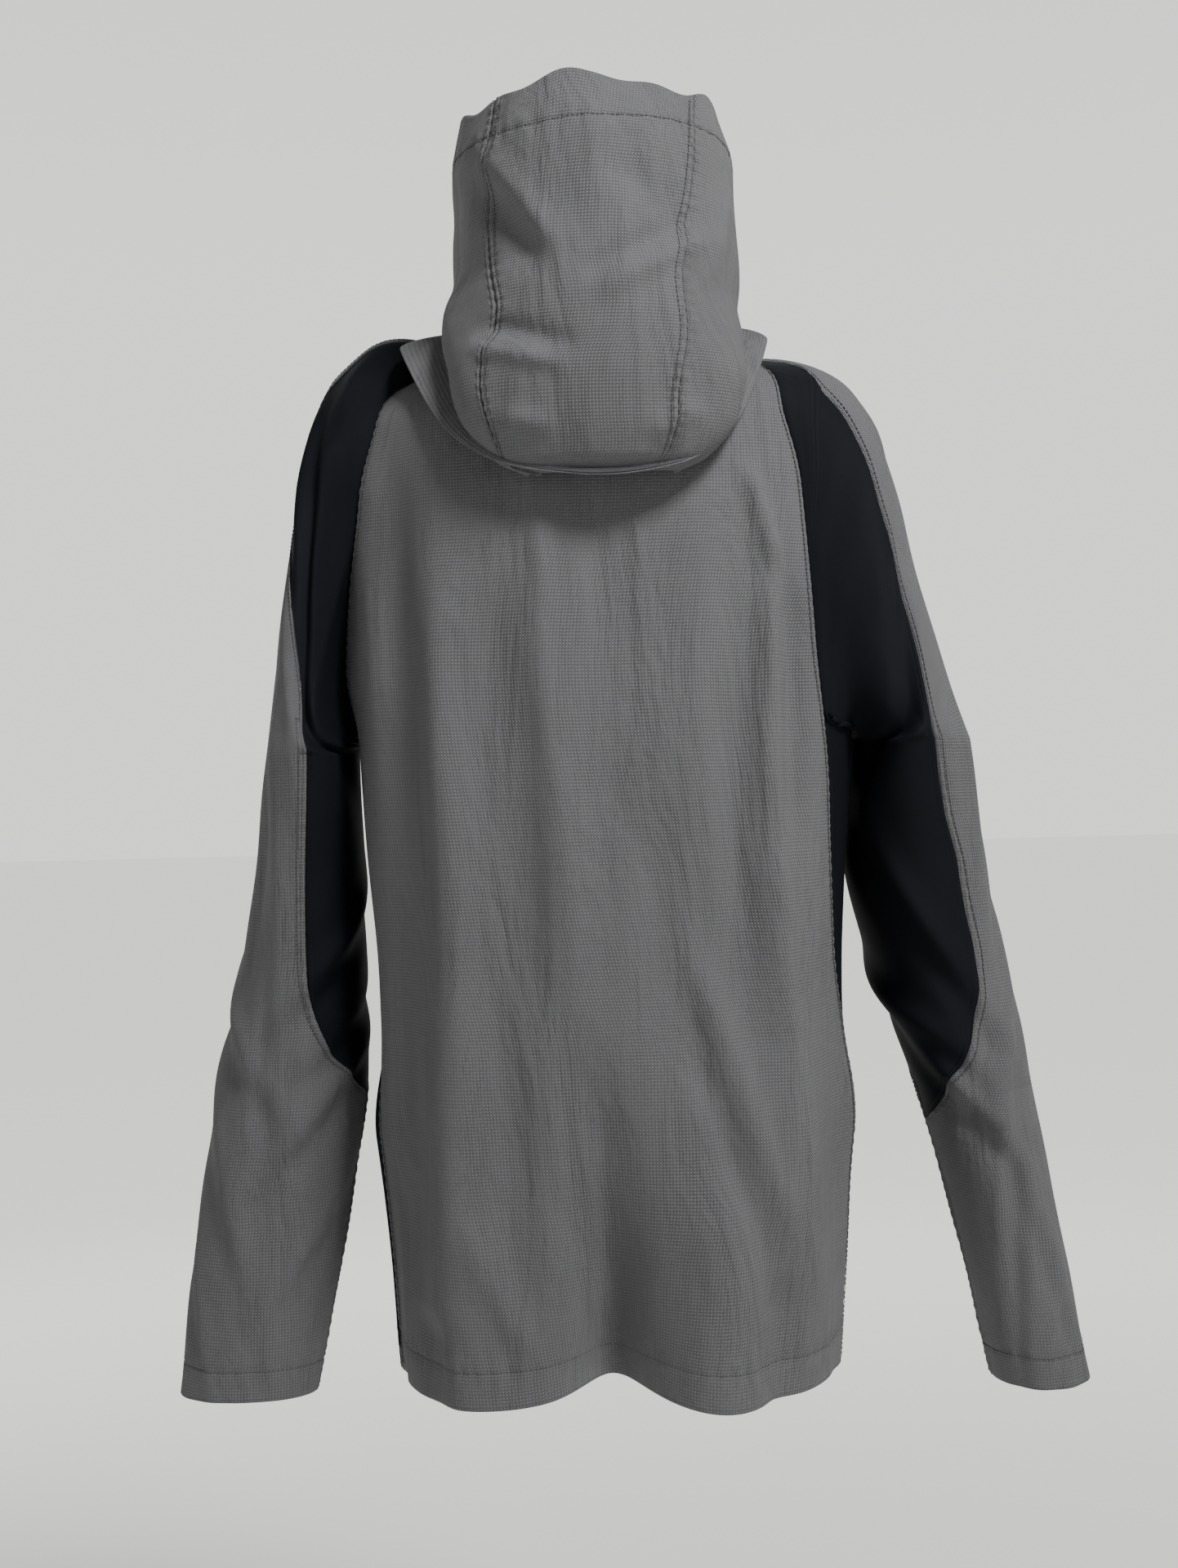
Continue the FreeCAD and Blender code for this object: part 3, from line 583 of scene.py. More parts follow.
def embossed(name, dark, light, rough, sheen):
    """Matt cloth with rows of small raised diamonds over a fine twill."""
    m, tree, bsdf = material(name, light, rough, sheen)
    u, v = cloth_axes(tree)
    dots = times(wave(plus(u, v), 4.1), wave(sums("SUBTRACT", u, v), 4.1))
    raised = times(sums("SUBTRACT", dots, 0.05), 1.6, clamp=True)
    twill = wave(plus(times(u, 1.7), v), 0.75)
    fleck, patchy = noise(tree, 900.0, 2.0), noise(tree, 9.0, 4.0)
    tone = plus(plus(times(raised, 0.60), times(fleck, 0.28)), times(patchy, 0.22))
    paint(bsdf, tone, dark, light)
    first = bump(bsdf, plus(raised, times(twill, 0.10)), 0.0006, 0.85)
    second = bump(bsdf, noise(tree, 60.0), 0.0006, 0.35, first)
    # soft creases that run mostly downwards
    bump(bsdf, noise(tree, 1.0, 4.0, (21.0, 21.0, 5.5), 0.5), 0.026, 0.6, second)
    return m


def woven(name, dark, light, rough):
    """Flat cloth with a fine twill."""
    m, tree, bsdf = material(name, light, rough, 0.0, 0.12)
    u, v = cloth_axes(tree)
    twill = wave(plus(times(u, 0.8), v), 0.7)
    paint(bsdf, plus(times(twill, 0.2), times(noise(tree, 14.0, 4.0), 1.0)), dark, light)
    first = bump(bsdf, twill, 0.00012, 0.6)
    bump(bsdf, noise(tree, 45.0), 0.0008, 0.3, first)
    return m


def speckled(name, dark, light, rough, scale, depth, metal=0.0, spec=0.4, sheen=0.0):
    """Plain material with a fine random grain."""
    m, tree, bsdf = material(name, light, rough, sheen, spec, metal)
    paint(bsdf, noise(tree, scale * 0.2, 4.0), dark, light)
    bump(bsdf, noise(tree, scale, 4.0), depth, 0.5)
    return m


GREY = embossed("grey_cloth", (0.060, 0.060, 0.063), (0.138, 0.139, 0.145), 0.85, 0.05)
BLACK = woven("black_cloth", (0.0016, 0.0021, 0.0036), (0.0036, 0.0046, 0.0074), 0.72)
LINING = speckled("lining_cloth", (0.018, 0.018, 0.021), (0.034, 0.034, 0.038), 0.9, 900, 0.0004, sheen=0.2)
THREAD = speckled("grey_thread", (0.03, 0.03, 0.032), (0.055, 0.055, 0.058), 0.7, 3000.0, 0.0001)
DARK_THREAD = speckled("black_thread", (0.006, 0.007, 0.010), (0.014, 0.015, 0.020), 0.6, 3000.0, 0.0001)
TAPE = speckled("trim_tape", (0.008, 0.008, 0.009), (0.018, 0.018, 0.019), 0.75, 1600.0, 0.0002)
COIL = speckled("zip_plastic", (0.008, 0.008, 0.009), (0.016, 0.016, 0.017), 0.38, 500, 0.00005, spec=0.5)
METAL = speckled("zip_metal", (0.012, 0.012, 0.013), (0.03, 0.03, 0.032), 0.33, 260.0, 0.00005, 0.55, 0.5)
MESH = speckled("mesh", (0.012, 0.012, 0.013), (0.03, 0.03, 0.033), 0.85, 700.0, 0.0006)
LABEL = speckled("label", (0.28, 0.28, 0.28), (0.40, 0.40, 0.39), 0.75, 1200.0, 0.0002)

JOINT = {j["name"]: j for j in frame["record"]["behaviour"]["joints"]}


def rider(body):
    return lambda ob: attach(ob, body)


def front_bend(side):
    """Bakes the front half's place into its mesh; the fold line's axis is worked out, but no bend is made."""
    joint = JOINT[side + "_front_open"]
    axis, pos = Vector(joint["axis"]), Vector(joint["pos_m"])
    across = Vector((SLEEVES[side]["sign"], 0, 0))
    across = (across - axis * across.dot(axis)).normalized() * 0.022
    return lambda ob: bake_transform(ob)


def arm_bend():
    return lambda ob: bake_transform(ob)


def hood_bend(ob):
    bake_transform(ob)


# cut sizes of the cloth pieces: width, length and area of the flat pattern, in metres
CUTS = {
    "back_cloth": (0.475, 0.737, 0.279), "left_side_cloth": (0.133, 0.567, 0.046),
    "right_side_cloth": (0.182, 0.570, 0.060), "left_sleeve_cloth": (0.330, 0.857, 0.154),
    "right_sleeve_cloth": (0.308, 0.838, 0.152), "left_underarm_cloth": (0.250, 0.658, 0.074),
    "right_underarm_cloth": (0.250, 0.723, 0.080), "hood_center_cloth": (0.160, 0.300, 0.039),
    "hood_left_cloth": (0.151, 0.324, 0.027), "hood_right_cloth": (0.173, 0.318, 0.030),
    "hood_base_cloth": (0.089, 0.645, 0.043), "collar_cloth": (0.134, 0.309, 0.035),
    "flap_cloth": (0.0215, 0.696, 0.0148), "label_cloth": (0.0264, 0.044, 0.0011),
}
for s in SLEEVES:
    CUTS[s + "_front_cloth"] = (0.178, 0.712, 0.117)
    CUTS[s + "_collar_cloth"] = (0.118, 0.131, 0.013)
    CUTS[s + "_tape_cloth"] = (0.0112, 0.702, 0.0078)
    CUTS[s + "_pocket_tape"] = (0.014, 0.166, 0.0023)
    CUTS[s + "_pocket_inner_lip"] = CUTS[s + "_pocket_outer_lip"] = (0.0123, 0.179, 0.0021)
    CUTS[s + "_bag_cloth"] = (0.112, 0.196, 0.0136)


def done(ob, place, stands_for=()):
    """Sets what a piece moves with and hides the designed parts it stands for."""
    place(ob)
    if stands_for:
        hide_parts(*stands_for)


# ------------------------------------------------------------------ trunk cloth
R = 1
TURNED_IN = [(-1.0, -0.6), (-1.3, -1.8), (-0.9, -3.0)]


def edge_rows(top, bottom, count):
    """Heights down a panel, then round the hem fold and up inside it: pairs of height and offset."""
    pairs = [(h, 0.0) for h in np.linspace(top, bottom, count // R)]
    pairs += [(bottom + h, o) for h, o in TURNED_IN]
    return np.array(pairs + [(bottom + h, -3.5) for h in (0.8, 6, 12, 18, HEM_DEPTH)])


def across_between(lo, hi, z, fr):
    """Rows of values between two edges, at fractions fr of the way across."""
    a, b = lo(z)[:, None], hi(z)[:, None]
    return a + (b - a) * fr[None, :]


def seamed(p, n, near, far, along, shift, seams):
    """Shapes a panel's two sewn edges; near and far are the distances from them."""
    if seams[0]:
        p = p + n * seam_profile(near, along, seams[0])[..., None]
    if seams[1]:
        p = p + n * seam_profile(far, along + shift, seams[1])[..., None]
    return p


def torso_panel(lo, hi, pairs, fr, width, seams=(0, 0)):
    """Grid of a trunk panel, normals, heights and angles; seams say how strongly each edge is worked."""
    t = across_between(lo, hi, pairs[:, 0], fr)
    zz = pairs[:, :1] * np.ones_like(t)
    p = torso(t, zz, pairs[:, 1:2] * np.ones_like(t))
    n = torso(t, zz, 1.0) - torso(t, zz, 0.0)
    along = line_length(p[:, 0])[:, None]
    p = seamed(p, n, fr[None, :] * width, (1 - fr[None, :]) * width, along, 31, seams)
    return p, n, zz, t


def hem_pucker(p, n, z, t):
    """Presses the hem's stitch line into the cloth and puckers it."""
    line = z - (HEM + HEM_DEPTH)
    x = np.degrees(t) * 2.6
    w = np.exp(-((line / 7.0) ** 2))
    h = -0.7 * np.exp(-((line / 1.3) ** 2)) + w * 0.55 * np.sin(x * 0.55 + 2.2 * np.sin(x * 0.09))
    return p + n * (h + 0.5 * w * np.sin(x * 0.21 + 1.0))[..., None]


def rad(f):
    return lambda z: np.radians(f(z))


def seam_stitches(lo, hi, z, width):
    """Stitch lines beside both side edges of a trunk panel."""
    lines = []
    for fraction in (TOPSTITCH / width, 1 - TOPSTITCH / width):
        t = lo(z) + (hi(z) - lo(z)) * fraction
        p = torso(t, z, 0.25)
        lines.append((p, torso(t, z, 1.25) - p))
    return lines


def hem_line(t0, t1, count):
    t, z = np.linspace(t0, t1, count), np.full(count, HEM + HEM_DEPTH)
    p = torso(t, z, 0.1)
    n = torso(t, z, 1.1) - p
    return hem_pucker(p, n, z, t), n


def hemmed(name, lo, hi, pairs, count, width, seams, mats, flip):
    fr = spaced(count // R, width)
    return shell(name, hem_pucker(*torso_panel(lo, hi, pairs, fr, width, seams)), mats, flip)


BACK_W, FRONT_W = 400.0, 150.0
ON_TRUNK = rider("torso")
lo, hi = rad(BACK_EDGE["left"]), (lambda z: math.pi - np.radians(BACK_EDGE["right"](z)))
back = hemmed("back_cloth", lo, hi, edge_rows(-4, HEM, 300), 170, BACK_W, (1, 1), (GREY, LINING), True)
done(back, ON_TRUNK, ("back_panel", "back_hem_band"))
paths = seam_stitches(lo, hi, np.linspace(-10, HEM + 2, 500), BACK_W)
paths.append(hem_line(math.radians(11), math.pi - math.radians(11), 400))
done(stitches("back_stitching", paths, THREAD), ON_TRUNK)

collar_rows = [(z, 0.2) for z in np.linspace(-4.5, 57.5, 34 // R)]
collar_rows += [(58.6, -0.6), (58.9, -1.8), (58.2, -3.0)]
collar_rows = np.array(collar_rows + [(z, -3.6) for z in np.linspace(56, 0, 20)])
COLLAR_END = math.radians(-8)
for side, sign in (("left", 1), ("right", -1)):
    def turned(f, sign=sign):
        return f if sign > 0 else (lambda z: math.pi - f(z))

    flip = sign > 0
    # dark strip under the arm; it runs up inside the armhole, so that a raised arm leaves no hole
    tongue = [(PIT + h, -6.0) for h in range(110, 19, -10)]
    tongue += [(PIT + h, o) for h, o in ((14, -5.2), (9, -3.6), (4, -2.2))]
    pairs = np.concatenate([tongue, edge_rows(PIT + 1, HEM, 170)])
    wide = lambda z: 5.0 * ease(PIT + 5, PIT + 14, z)
    lo = turned(lambda z: np.radians(front_edge(z) - wide(z)))
    hi = turned(lambda z, side=side: np.radians(BACK_EDGE[side](z) + wide(z)))
    cloth = hemmed(side + "_side_cloth", lo, hi, pairs, 44, 118.0, (0.5, 0.5), (BLACK, BLACK), flip)
    done(cloth, ON_TRUNK, (side + "_side_panel",))
    # front half, from the zip to the armhole and side seams
    bend = front_bend(side)
    lo, hi = turned(lambda z: angle_for_x(6.4, z)), turned(rad(front_edge))
    pairs = edge_rows(-4, HEM, 240)
    cloth = hemmed(side + "_front_cloth", lo, hi, pairs, 100, FRONT_W, (0.8, 1), (GREY, LINING), flip)
    done(cloth, bend, [side + x for x in ("_front_panel", "_front_side", "_front_hem")])
    paths = seam_stitches(lo, hi, np.linspace(-8, HEM + 2, 420), FRONT_W)
    ends = turned(lambda a: a)
    paths.append(hem_line(ends(angle_for_x(7.0, HEM + HEM_DEPTH)), ends(math.radians(-20)), 220))
    done(stitches(side + "_front_stitching", paths, THREAD), bend)
    # stand-up collar, doubled over its top edge
    hi = turned(lambda z: np.zeros_like(z) + COLLAR_END)
    grid = torso_panel(lo, hi, collar_rows, spaced(60 // R, 92.0, far=False), 92.0, (0.7, 0))[0]
    cloth = shell(side + "_collar_cloth", grid, (GREY, GREY), not flip)
    done(cloth, bend, (side + "_collar_front",))

lo, hi = (lambda z: np.zeros_like(z) + COLLAR_END), (lambda z: np.zeros_like(z) + math.radians(188))
grid = torso_panel(lo, hi, collar_rows, np.linspace(0, 1, 90 // R), 200.0)[0]
done(shell("collar_cloth", grid, (GREY, BLACK)), ON_TRUNK, ("collar_back", "collar_lining"))


# ------------------------------------------------------------------ arms
def sleeve_panel(side, lo, hi, s, fr, off, seams):
    psi = np.radians(across_between(lo, hi, s, fr))
    ss = s[:, None] * np.ones_like(psi)
    p = sleeve(side, psi, ss, off[:, None] * np.ones_like(psi))
    n = sleeve(side, psi, ss, 1.0) - sleeve(side, psi, ss, 0.0)
    span = np.linalg.norm(np.diff(p, axis=1), axis=-1).sum(axis=1)[:, None]
    return seamed(p, n, fr[None, :] * span, (1 - fr[None, :]) * span, s[:, None] * 430, 17, seams), n, psi


def tucked(side, p, psi):
    """Adds the seam allowance that is sewn in under the edge of the trunk panels."""
    t, z = armhole(side, psi)
    seat = torso(t if SLEEVES[side]["sign"] > 0 else math.pi - t, z, -2.3)
    away = unit_of(p[0] - p[4])
    return np.concatenate([[seat + away * 6.0], [seat + away * 1.0], p])


def sleeve_line(side, angle, s, toward):
    """Stitch line on the arm beside a seam."""
    a = np.radians(angle(s))
    e = 0.01 * toward
    step = np.linalg.norm(sleeve(side, a + e, s) - sleeve(side, a, s), axis=-1)
    psi = a + e * TOPSTITCH / np.maximum(step, 0.05)
    p = sleeve(side, psi, s, 0.25)
    return p, sleeve(side, psi, s, 1.25) - p


CUFF_LINE = 2 - CUFF_DEPTH / ARM_LONG
CUFF_S = 2 + np.array([1.0, 1.3, 0.9, -0.8, -6, -14, -21]) / ARM_LONG
CUFF_OFF = [-0.6, -1.8, -3.0, -3.5, -3.5, -3.5, -3.5]
for side, sign in (("left", 1), ("right", -1)):
    flip, bend = sign > 0, arm_bend()
    end = 1.54 if side == "left" else 1.6
    root = np.concatenate([np.linspace(0.0, 0.1, 8), np.linspace(0.1, 1.0, 130 // R)[1:]])
    top = np.concatenate([root, np.linspace(1, 2, 190 // R)[1:]])
    s = np.concatenate([top, CUFF_S])
    off = np.concatenate([np.zeros(len(top)), CUFF_OFF])
    back_s = lambda v, side=side: np.minimum(SLEEVES[side]["seam"](v), 180.0)
    front_s = lambda v: np.maximum(FRONT_SEAM(v), -180.0)
    grid, nrm, psi = sleeve_panel(side, front_s, back_s, s, spaced(100 // R, 190.0), off, (1, 1))
    line = (s - CUFF_LINE) * ARM_LONG
    pucker = np.exp(-((line / 6.0) ** 2))[:, None] * 0.45 * np.sin(psi * 21 + 2 * np.sin(psi * 5))
    grid += nrm * pucker[..., None]
    grid += nrm * (-0.7 * np.exp(-((line / 1.2) ** 2)))[:, None, None]
    cloth = shell(side + "_sleeve_cloth", tucked(side, grid, psi[0]), (GREY, LINING), flip)
    nodes = [side + x for x in ("_sleeve_outer", "_sleeve_under", "_shoulder_outer", "_cuff_hem")]
    done(cloth, bend, nodes)
    s = np.concatenate([root, np.linspace(1, end - 0.004, 90 // R)[1:]])
    round_under, fr = (lambda v: 360 + front_s(v)), spaced(96 // R, 200.0)
    grid, _, psi = sleeve_panel(side, back_s, round_under, s, fr, np.zeros(len(s)), (0.6, 0.6))
    cloth = shell(side + "_underarm_cloth", tucked(side, grid, psi[0]), (BLACK, BLACK), flip)
    done(cloth, bend, (side + "_shoulder_under",))
    sv = np.linspace(0.03, end - 0.02, 500)
    ps, cuff = np.linspace(-math.pi, math.pi, 260), np.full(260, CUFF_LINE)
    p = sleeve(side, ps, cuff, 0.0)
    n = sleeve(side, ps, cuff, 1.0) - p
    ring_line = p + n * (0.2 - 0.7 + 0.45 * np.sin(ps * 21 + 2 * np.sin(ps * 5)))[:, None]
    paths = [sleeve_line(side, back_s, sv, -1), sleeve_line(side, front_s, sv, 1), (ring_line, n)]
    done(stitches(side + "_sleeve_stitching", paths, THREAD), bend)


# ------------------------------------------------------------------ hood
seam_left = rows([-96, -88, -39, -9, 6, 30, 75, 110, 146], [38, 60, 72, 66, 62, 65, 69, 66, 61])
seam_right = rows([-96, -85, -43, -9, 26, 75, 146], [30, 42, 50, 55, 53, 61, 65])


def seam_angle(x, z):
    return np.arcsin(np.clip(x / hood_half(z), 0, 0.995) ** (1 / 0.9))


def hood_panel(name, lo, hi, width, seams):
    pairs = [(z, 0.0) for z in np.linspace(-96, 146, 200 // R)]
    pairs += [(147.0, -0.6), (147.3, -1.8), (146.9, -3.0)]
    pairs = np.array(pairs + [(z, -3.5) for z in (145, 138, 130, 121)])
    z = pairs[:, 0]
    zc = np.minimum(z, 146)
    fr = spaced(80 // R, width)
    aa = across_between(lo, hi, zc, fr)
    zz = zc[:, None] * np.ones_like(aa)
    oo = pairs[:, 1:2] * np.ones_like(aa)
    p = hood(aa, zz, oo)
    p[..., 2] += (z - zc)[:, None]
    n = hood(aa, zz, oo + 1) - hood(aa, zz, oo)
    p = seamed(p, n, fr[None, :] * width, (1 - fr[None, :]) * width, z[:, None], 9, seams)
    line = (zz - 119) + 2 * np.sin(np.degrees(aa) / 20)
    x = np.degrees(aa) * 1.6
    pucker = np.exp(-((line / 7) ** 2)) * 0.5 * np.sin(x * 0.55 + 2 * np.sin(x * 0.1))
    p += n * (-0.7 * np.exp(-((line / 1.3) ** 2)) + pucker)[..., None]
    return shell(name, p, (GREY, LINING), True)


def hood_line(a, z, lift=0.3):
    p = hood(a, z, lift)
    return p, hood(a, z, lift + 1) - p


sl = lambda z: seam_angle(seam_left(z), z)
sr = lambda z: -seam_angle(seam_right(z), z)
quarter = lambda z: np.zeros_like(z) + math.pi / 2
for name, lo, hi, width, seams, nodes in (
    ("hood_center_cloth", sr, sl, 140.0, (1, 1), ("hood_center", "hood_brim")),
    ("hood_left_cloth", sl, quarter, 130.0, (0.8, 0.6), ("hood_left",)),
    ("hood_right_cloth", lambda z: -quarter(z), sr, 130.0, (0.6, 0.8), ("hood_right",)),
):
    done(hood_panel(name, lo, hi, width, seams), hood_bend, nodes)
zs, aa = np.linspace(-92, 145, 300), np.linspace(-math.pi / 2, math.pi / 2, 320)
paths = [hood_line(sl(zs) - 6.0 / 95, zs), hood_line(sr(zs) + 6.0 / 95, zs)]
paths.append(hood_line(aa, 119 - 2 * np.sin(np.degrees(aa) / 20), -0.2))
done(stitches("hood_stitching", paths, THREAD), hood_bend)

# underside of the hood: out from the neck seam, round a soft roll and up inside the hood wall
ROLL = [
    (-25, 82, -52, 12), (0, 108, -4, 8), (20, 130, 44, -2), (40, 114, 94, -46), (60, 86, 124, -84),
    (75, 54, 138, -100), (90, 0, 145, -106), (105, -50, 138, -99), (120, -78, 122, -82), (140, -98, 92, -44),
    (160, -112, 44, -2), (180, -100, -4, 8), (205, -80, -52, 12),
]
TUCK = [
    (-25, 80, -66, 28), (0, 90, -20, 26), (20, 93, 28, 12), (40, 88, 74, -12), (60, 76, 110, -50),
    (75, 46, 131, -80), (90, 0, 136, -88), (105, -44, 131, -80), (120, -72, 110, -50), (140, -84, 74, -12),
    (160, -90, 28, 12), (180, -90, -20, 26), (205, -78, -66, 28),
]
roll = [rows([r[0] for r in ROLL], [r[k] for r in ROLL]) for k in (1, 2, 3)]
tuck = [rows([r[0] for r in TUCK], [r[k] for r in TUCK]) for k in (1, 2, 3)]
g = np.linspace(-25, 205, 240 // R)
rr = np.stack([f(g) for f in roll], -1)
tk = np.stack([f(g) for f in tuck], -1)
nk = torso(np.radians(g), np.full_like(g, 3.0), 1.8)
# both ends run out into the neck seam in front of the shoulders
w = (0.10 + 0.90 * ease(-25, 22, g) * ease(205, 158, g))[:, None]
rr, tk = nk + (rr - nk) * w, nk + (tk - nk) * w
out = unit_of(rr - np.array([0, 30.0, 30.0]))
v = np.linspace(0, 1, 60 // R)[:, None, None]
c1 = nk + (rr - nk) * 0.75 + w * np.array([0, 0, 10.0])
c2 = rr + w * (out * 12 - np.array([0, 0, 6.0]))
c3 = rr + w * (out * 7 + np.array([0, 0, 13.0]))
grid = nk * (1 - v) ** 4 + c1 * 4 * v * (1 - v) ** 3 + c2 * 6 * v * v * (1 - v) ** 2
grid = grid + c3 * 4 * v ** 3 * (1 - v) + tk * v ** 4
ripple = 1.3 * np.sin(g / 9.0) * np.sin(g / 23.0 + 1)
grid = grid + out[None] * w[None] * (ripple[None, :, None] * np.sin(math.pi * v))
ob = shell("hood_base_cloth", grid, (GREY, LINING))
done(ob, hood_bend, ("hood_inner", "hood_neck_strip", "neck_band"))


# ------------------------------------------------------------------ front zip
LEAN = math.atan(0.065)
ZIP_FOOT = np.array([0.0, front_at(HEM + 20), HEM + 20])
ZIP_UP = np.array([0.0, math.sin(LEAN), math.cos(LEAN)])
ZIP_IN = np.array([0.0, math.cos(LEAN), -math.sin(LEAN)])
ZIP_LONG = 702.0


def on_zip(x, y, along):
    """Point by distance across the zip, inwards from its face and up from its foot."""
    return ZIP_FOOT + np.array([1.0, 0, 0]) * x + ZIP_IN * y + ZIP_UP * along


def repeated(name, solid, places):
    """Zip teeth: copies of one small solid; places are (origin, x axis, y axis, z axis) rows."""
    pts, faces = solid
    verts, out = [], []
    for k, (o, ax, ay, az) in enumerate(places):
        verts.append(o + pts[:, :1] * ax + pts[:, 1:2] * ay + pts[:, 2:] * az)
        out += [[i + k * len(pts) for i in f] for f in faces]
    return mesh_of(name, np.concatenate(verts), out, COIL)


def tooth(wide, deep, tall):
    """One zip tooth: a body with a thicker rounded head."""
    pts, faces, n = [], [], 10
    stations = [(0.0, 0.72), (0.38, 0.72), (0.55, 0.95), (0.8, 1.0), (0.94, 0.86), (1.0, 0.55)]
    for t, f in stations:
        for i in range(n):
            w = 2 * math.pi * i / n
            pts.append((
                wide * t, deep / 2 * f * np.sign(math.cos(w)) * abs(math.cos(w)) ** 0.7,
                tall / 2 * f * np.sign(math.sin(w)) * abs(math.sin(w)) ** 0.7,
            ))
    for j in range(len(stations) - 1):
        for i in range(n):
            a, b = j * n + i, j * n + (i + 1) % n
            faces.append([a, a + n, b + n, b])
    faces.append(list(range(n)))
    faces.append([len(pts) - 1 - i for i in range(n)])
    return np.array(pts), faces


def plate(name, outline, y0, y1, at, mat, holes=(), bevel=0.35):
    """Flat part: outline and holes are (across, along) points, y0 to y1 is its thickness inwards."""
    bm = bmesh.new()
    edges = []
    for loop in (outline, *holes):
        vs = [bm.verts.new(to_frame(at(x, y0, z))) for x, z in loop]
        edges += [bm.edges.new((vs[i], vs[(i + 1) % len(vs)])) for i in range(len(vs))]
    bmesh.ops.triangle_fill(bm, use_beauty=True, use_dissolve=True, edges=edges)
    step = Vector(to_frame(at(0, y1, 0))) - Vector(to_frame(at(0, y0, 0)))
    grown = bmesh.ops.extrude_face_region(bm, geom=list(bm.faces))
    moved = [g for g in grown["geom"] if isinstance(g, bmesh.types.BMVert)]
    bmesh.ops.translate(bm, verts=moved, vec=step)
    bmesh.ops.recalc_face_normals(bm, faces=bm.faces)
    ob = from_bmesh(name, bm, [mat])
    mesh = ob.data
    edge = ob.modifiers.new("edge", "BEVEL")
    edge.width = bevel / 1000
    edge.segments = 3
    edge.limit_method = "ANGLE"
    edge.angle_limit = math.radians(35)
    ready = bpy.data.meshes.new_from_object(ob.evaluated_get(bpy.context.evaluated_depsgraph_get()))
    ob.modifiers.clear()
    ob.data = ready
    bpy.data.meshes.remove(mesh)
    ready.polygons.foreach_set("use_smooth", [True] * len(ready.polygons))
    return ob


def rounded(w, z0, z1, top=1.0, bottom=1.0, n=7):
    """Outline with rounded ends; top and bottom are the corner radii as parts of half its width."""
    h, pts = w / 2, []
    for cx, cz, r, a0 in (
        (h - bottom * h, z0 + bottom * h, bottom * h, -90), (h - top * h, z1 - top * h, top * h, 0),
        (-h + top * h, z1 - top * h, top * h, 90), (-h + bottom * h, z0 + bottom * h, bottom * h, 180),
    ):
        for i in range(n):
            w2 = math.radians(a0 + 90 * i / (n - 1))
            p = (cx + r * math.cos(w2), cz + r * math.sin(w2))
            if not pts or math.dist(pts[-1], p) > 0.05:
                pts.append(p)
    if math.dist(pts[0], pts[-1]) < 0.05:
        pts.pop()
    return pts


def mirrored(half, w, h):
    """Closed outline from its right half, scaled to a width and a height."""
    right = [(x * w, z * h) for x, z in half]
    return right + [(-x, z) for x, z in right[::-1]]


PITCH = 2.0
front_tooth = tooth(2.5, 2.2, 1.25)
for side, sign in (("left", 1), ("right", -1)):
    on_front = rider(side + "_front")
    first = 12.8 if sign > 0 else 12.8 + PITCH / 2
    places = [
        (on_zip(sign * 2.85, 2.4, first + i * PITCH), np.array([-sign * 1.0, 0, 0]), ZIP_IN, ZIP_UP)
        for i in range(int((ZIP_LONG - 25) / PITCH))
    ]
    ob = repeated(side + "_teeth_row", front_tooth, places)
    done(ob, on_front, (side + "_zip_teeth",))
    # woven tape, with its raised cord edge next to the teeth
    across = np.array([2.3, 2.6, 3.1, 3.6, 4.2, 5.0, 7.0, 9.0, 11.0, 12.0, 12.8])
    lift = np.array([0.0, -0.55, -0.8, -0.6, -0.1, 0, 0, 0, 0, 0.05, 0.1])
    up = np.linspace(0, ZIP_LONG, 200 // R)
    ripple = 0.12 * np.sin(up / 3.1)[:, None] * (across[None, :] > 4)
    grid = np.stack([
        on_zip(sign * across[i], 2.75 + lift[i], 0)[None, :] + ZIP_UP[None, :] * up[:, None]
        + ZIP_IN[None, :] * ripple[:, i:i + 1] for i in range(len(across))
    ], 1)
    ob = shell(side + "_tape_cloth", grid, (TAPE, TAPE), sign > 0, 0.7)
    done(ob, on_front, (side + "_zip_tape",))
    at = lambda x, y, z, sign=sign: on_zip(sign * 1.65 + x, y, ZIP_LONG - 11 + z)
    ob = plate(side + "_stop", rounded(2.6, 0, 5.0, 0.35, 0.35), 0.9, 3.8, at, COIL, bevel=0.4)
    done(ob, on_front, (side + "_top_stop",))

at = lambda x, y, z: on_zip(1.6 + x, y, z)
ob = plate("pin", rounded(2.0, 0.2, 11.6, 0.9, 0.9), 1.3, 3.4, at, COIL, bevel=0.6)
done(ob, rider("left_front"), ("zip_pin",))
at = lambda x, y, z: on_zip(-1.7 + x, y, z)
slot_hole = rounded(0.9, 3.0, 8.6)[::-1]
ob = plate("socket", rounded(2.4, 0.2, 11.6, 0.25, 0.5), 0.6, 4.0, at, COIL, (slot_hole,), 0.3)
done(ob, rider("right_front"), ("zip_box",))

# right halves of the outlines: a slider has wide shoulders and a narrow tail, a pull has a waist and a grip
SLIDER_HALF = [
    (0.3, -1.0), (0.36, -0.93), (0.38, -0.7), (0.42, -0.5), (0.49, -0.3), (0.5, -0.14),
    (0.44, -0.03), (0.3, 0.0),
]
PULL_HALF = [
    (0.16, -1.0), (0.34, -0.985), (0.44, -0.94), (0.5, -0.86), (0.47, -0.6), (0.36, -0.34), (0.40, -0.2),
    (0.42, -0.1), (0.32, -0.03), (0.14, 0.0),
]


def merge(name, parts):
    """Joins separate solids of one rigid part into one mesh."""
    bm = bmesh.new()
    mats = []
    for ob in parts:
        old, start = ob.data, len(bm.faces)
        bm.from_mesh(old)
        bm.faces.ensure_lookup_table()
        for f in bm.faces[start:]:
            f.material_index += len(mats)
        mats += list(old.materials)
        bpy.data.objects.remove(ob)
        bpy.data.meshes.remove(old)
    return from_bmesh(name, bm, mats)


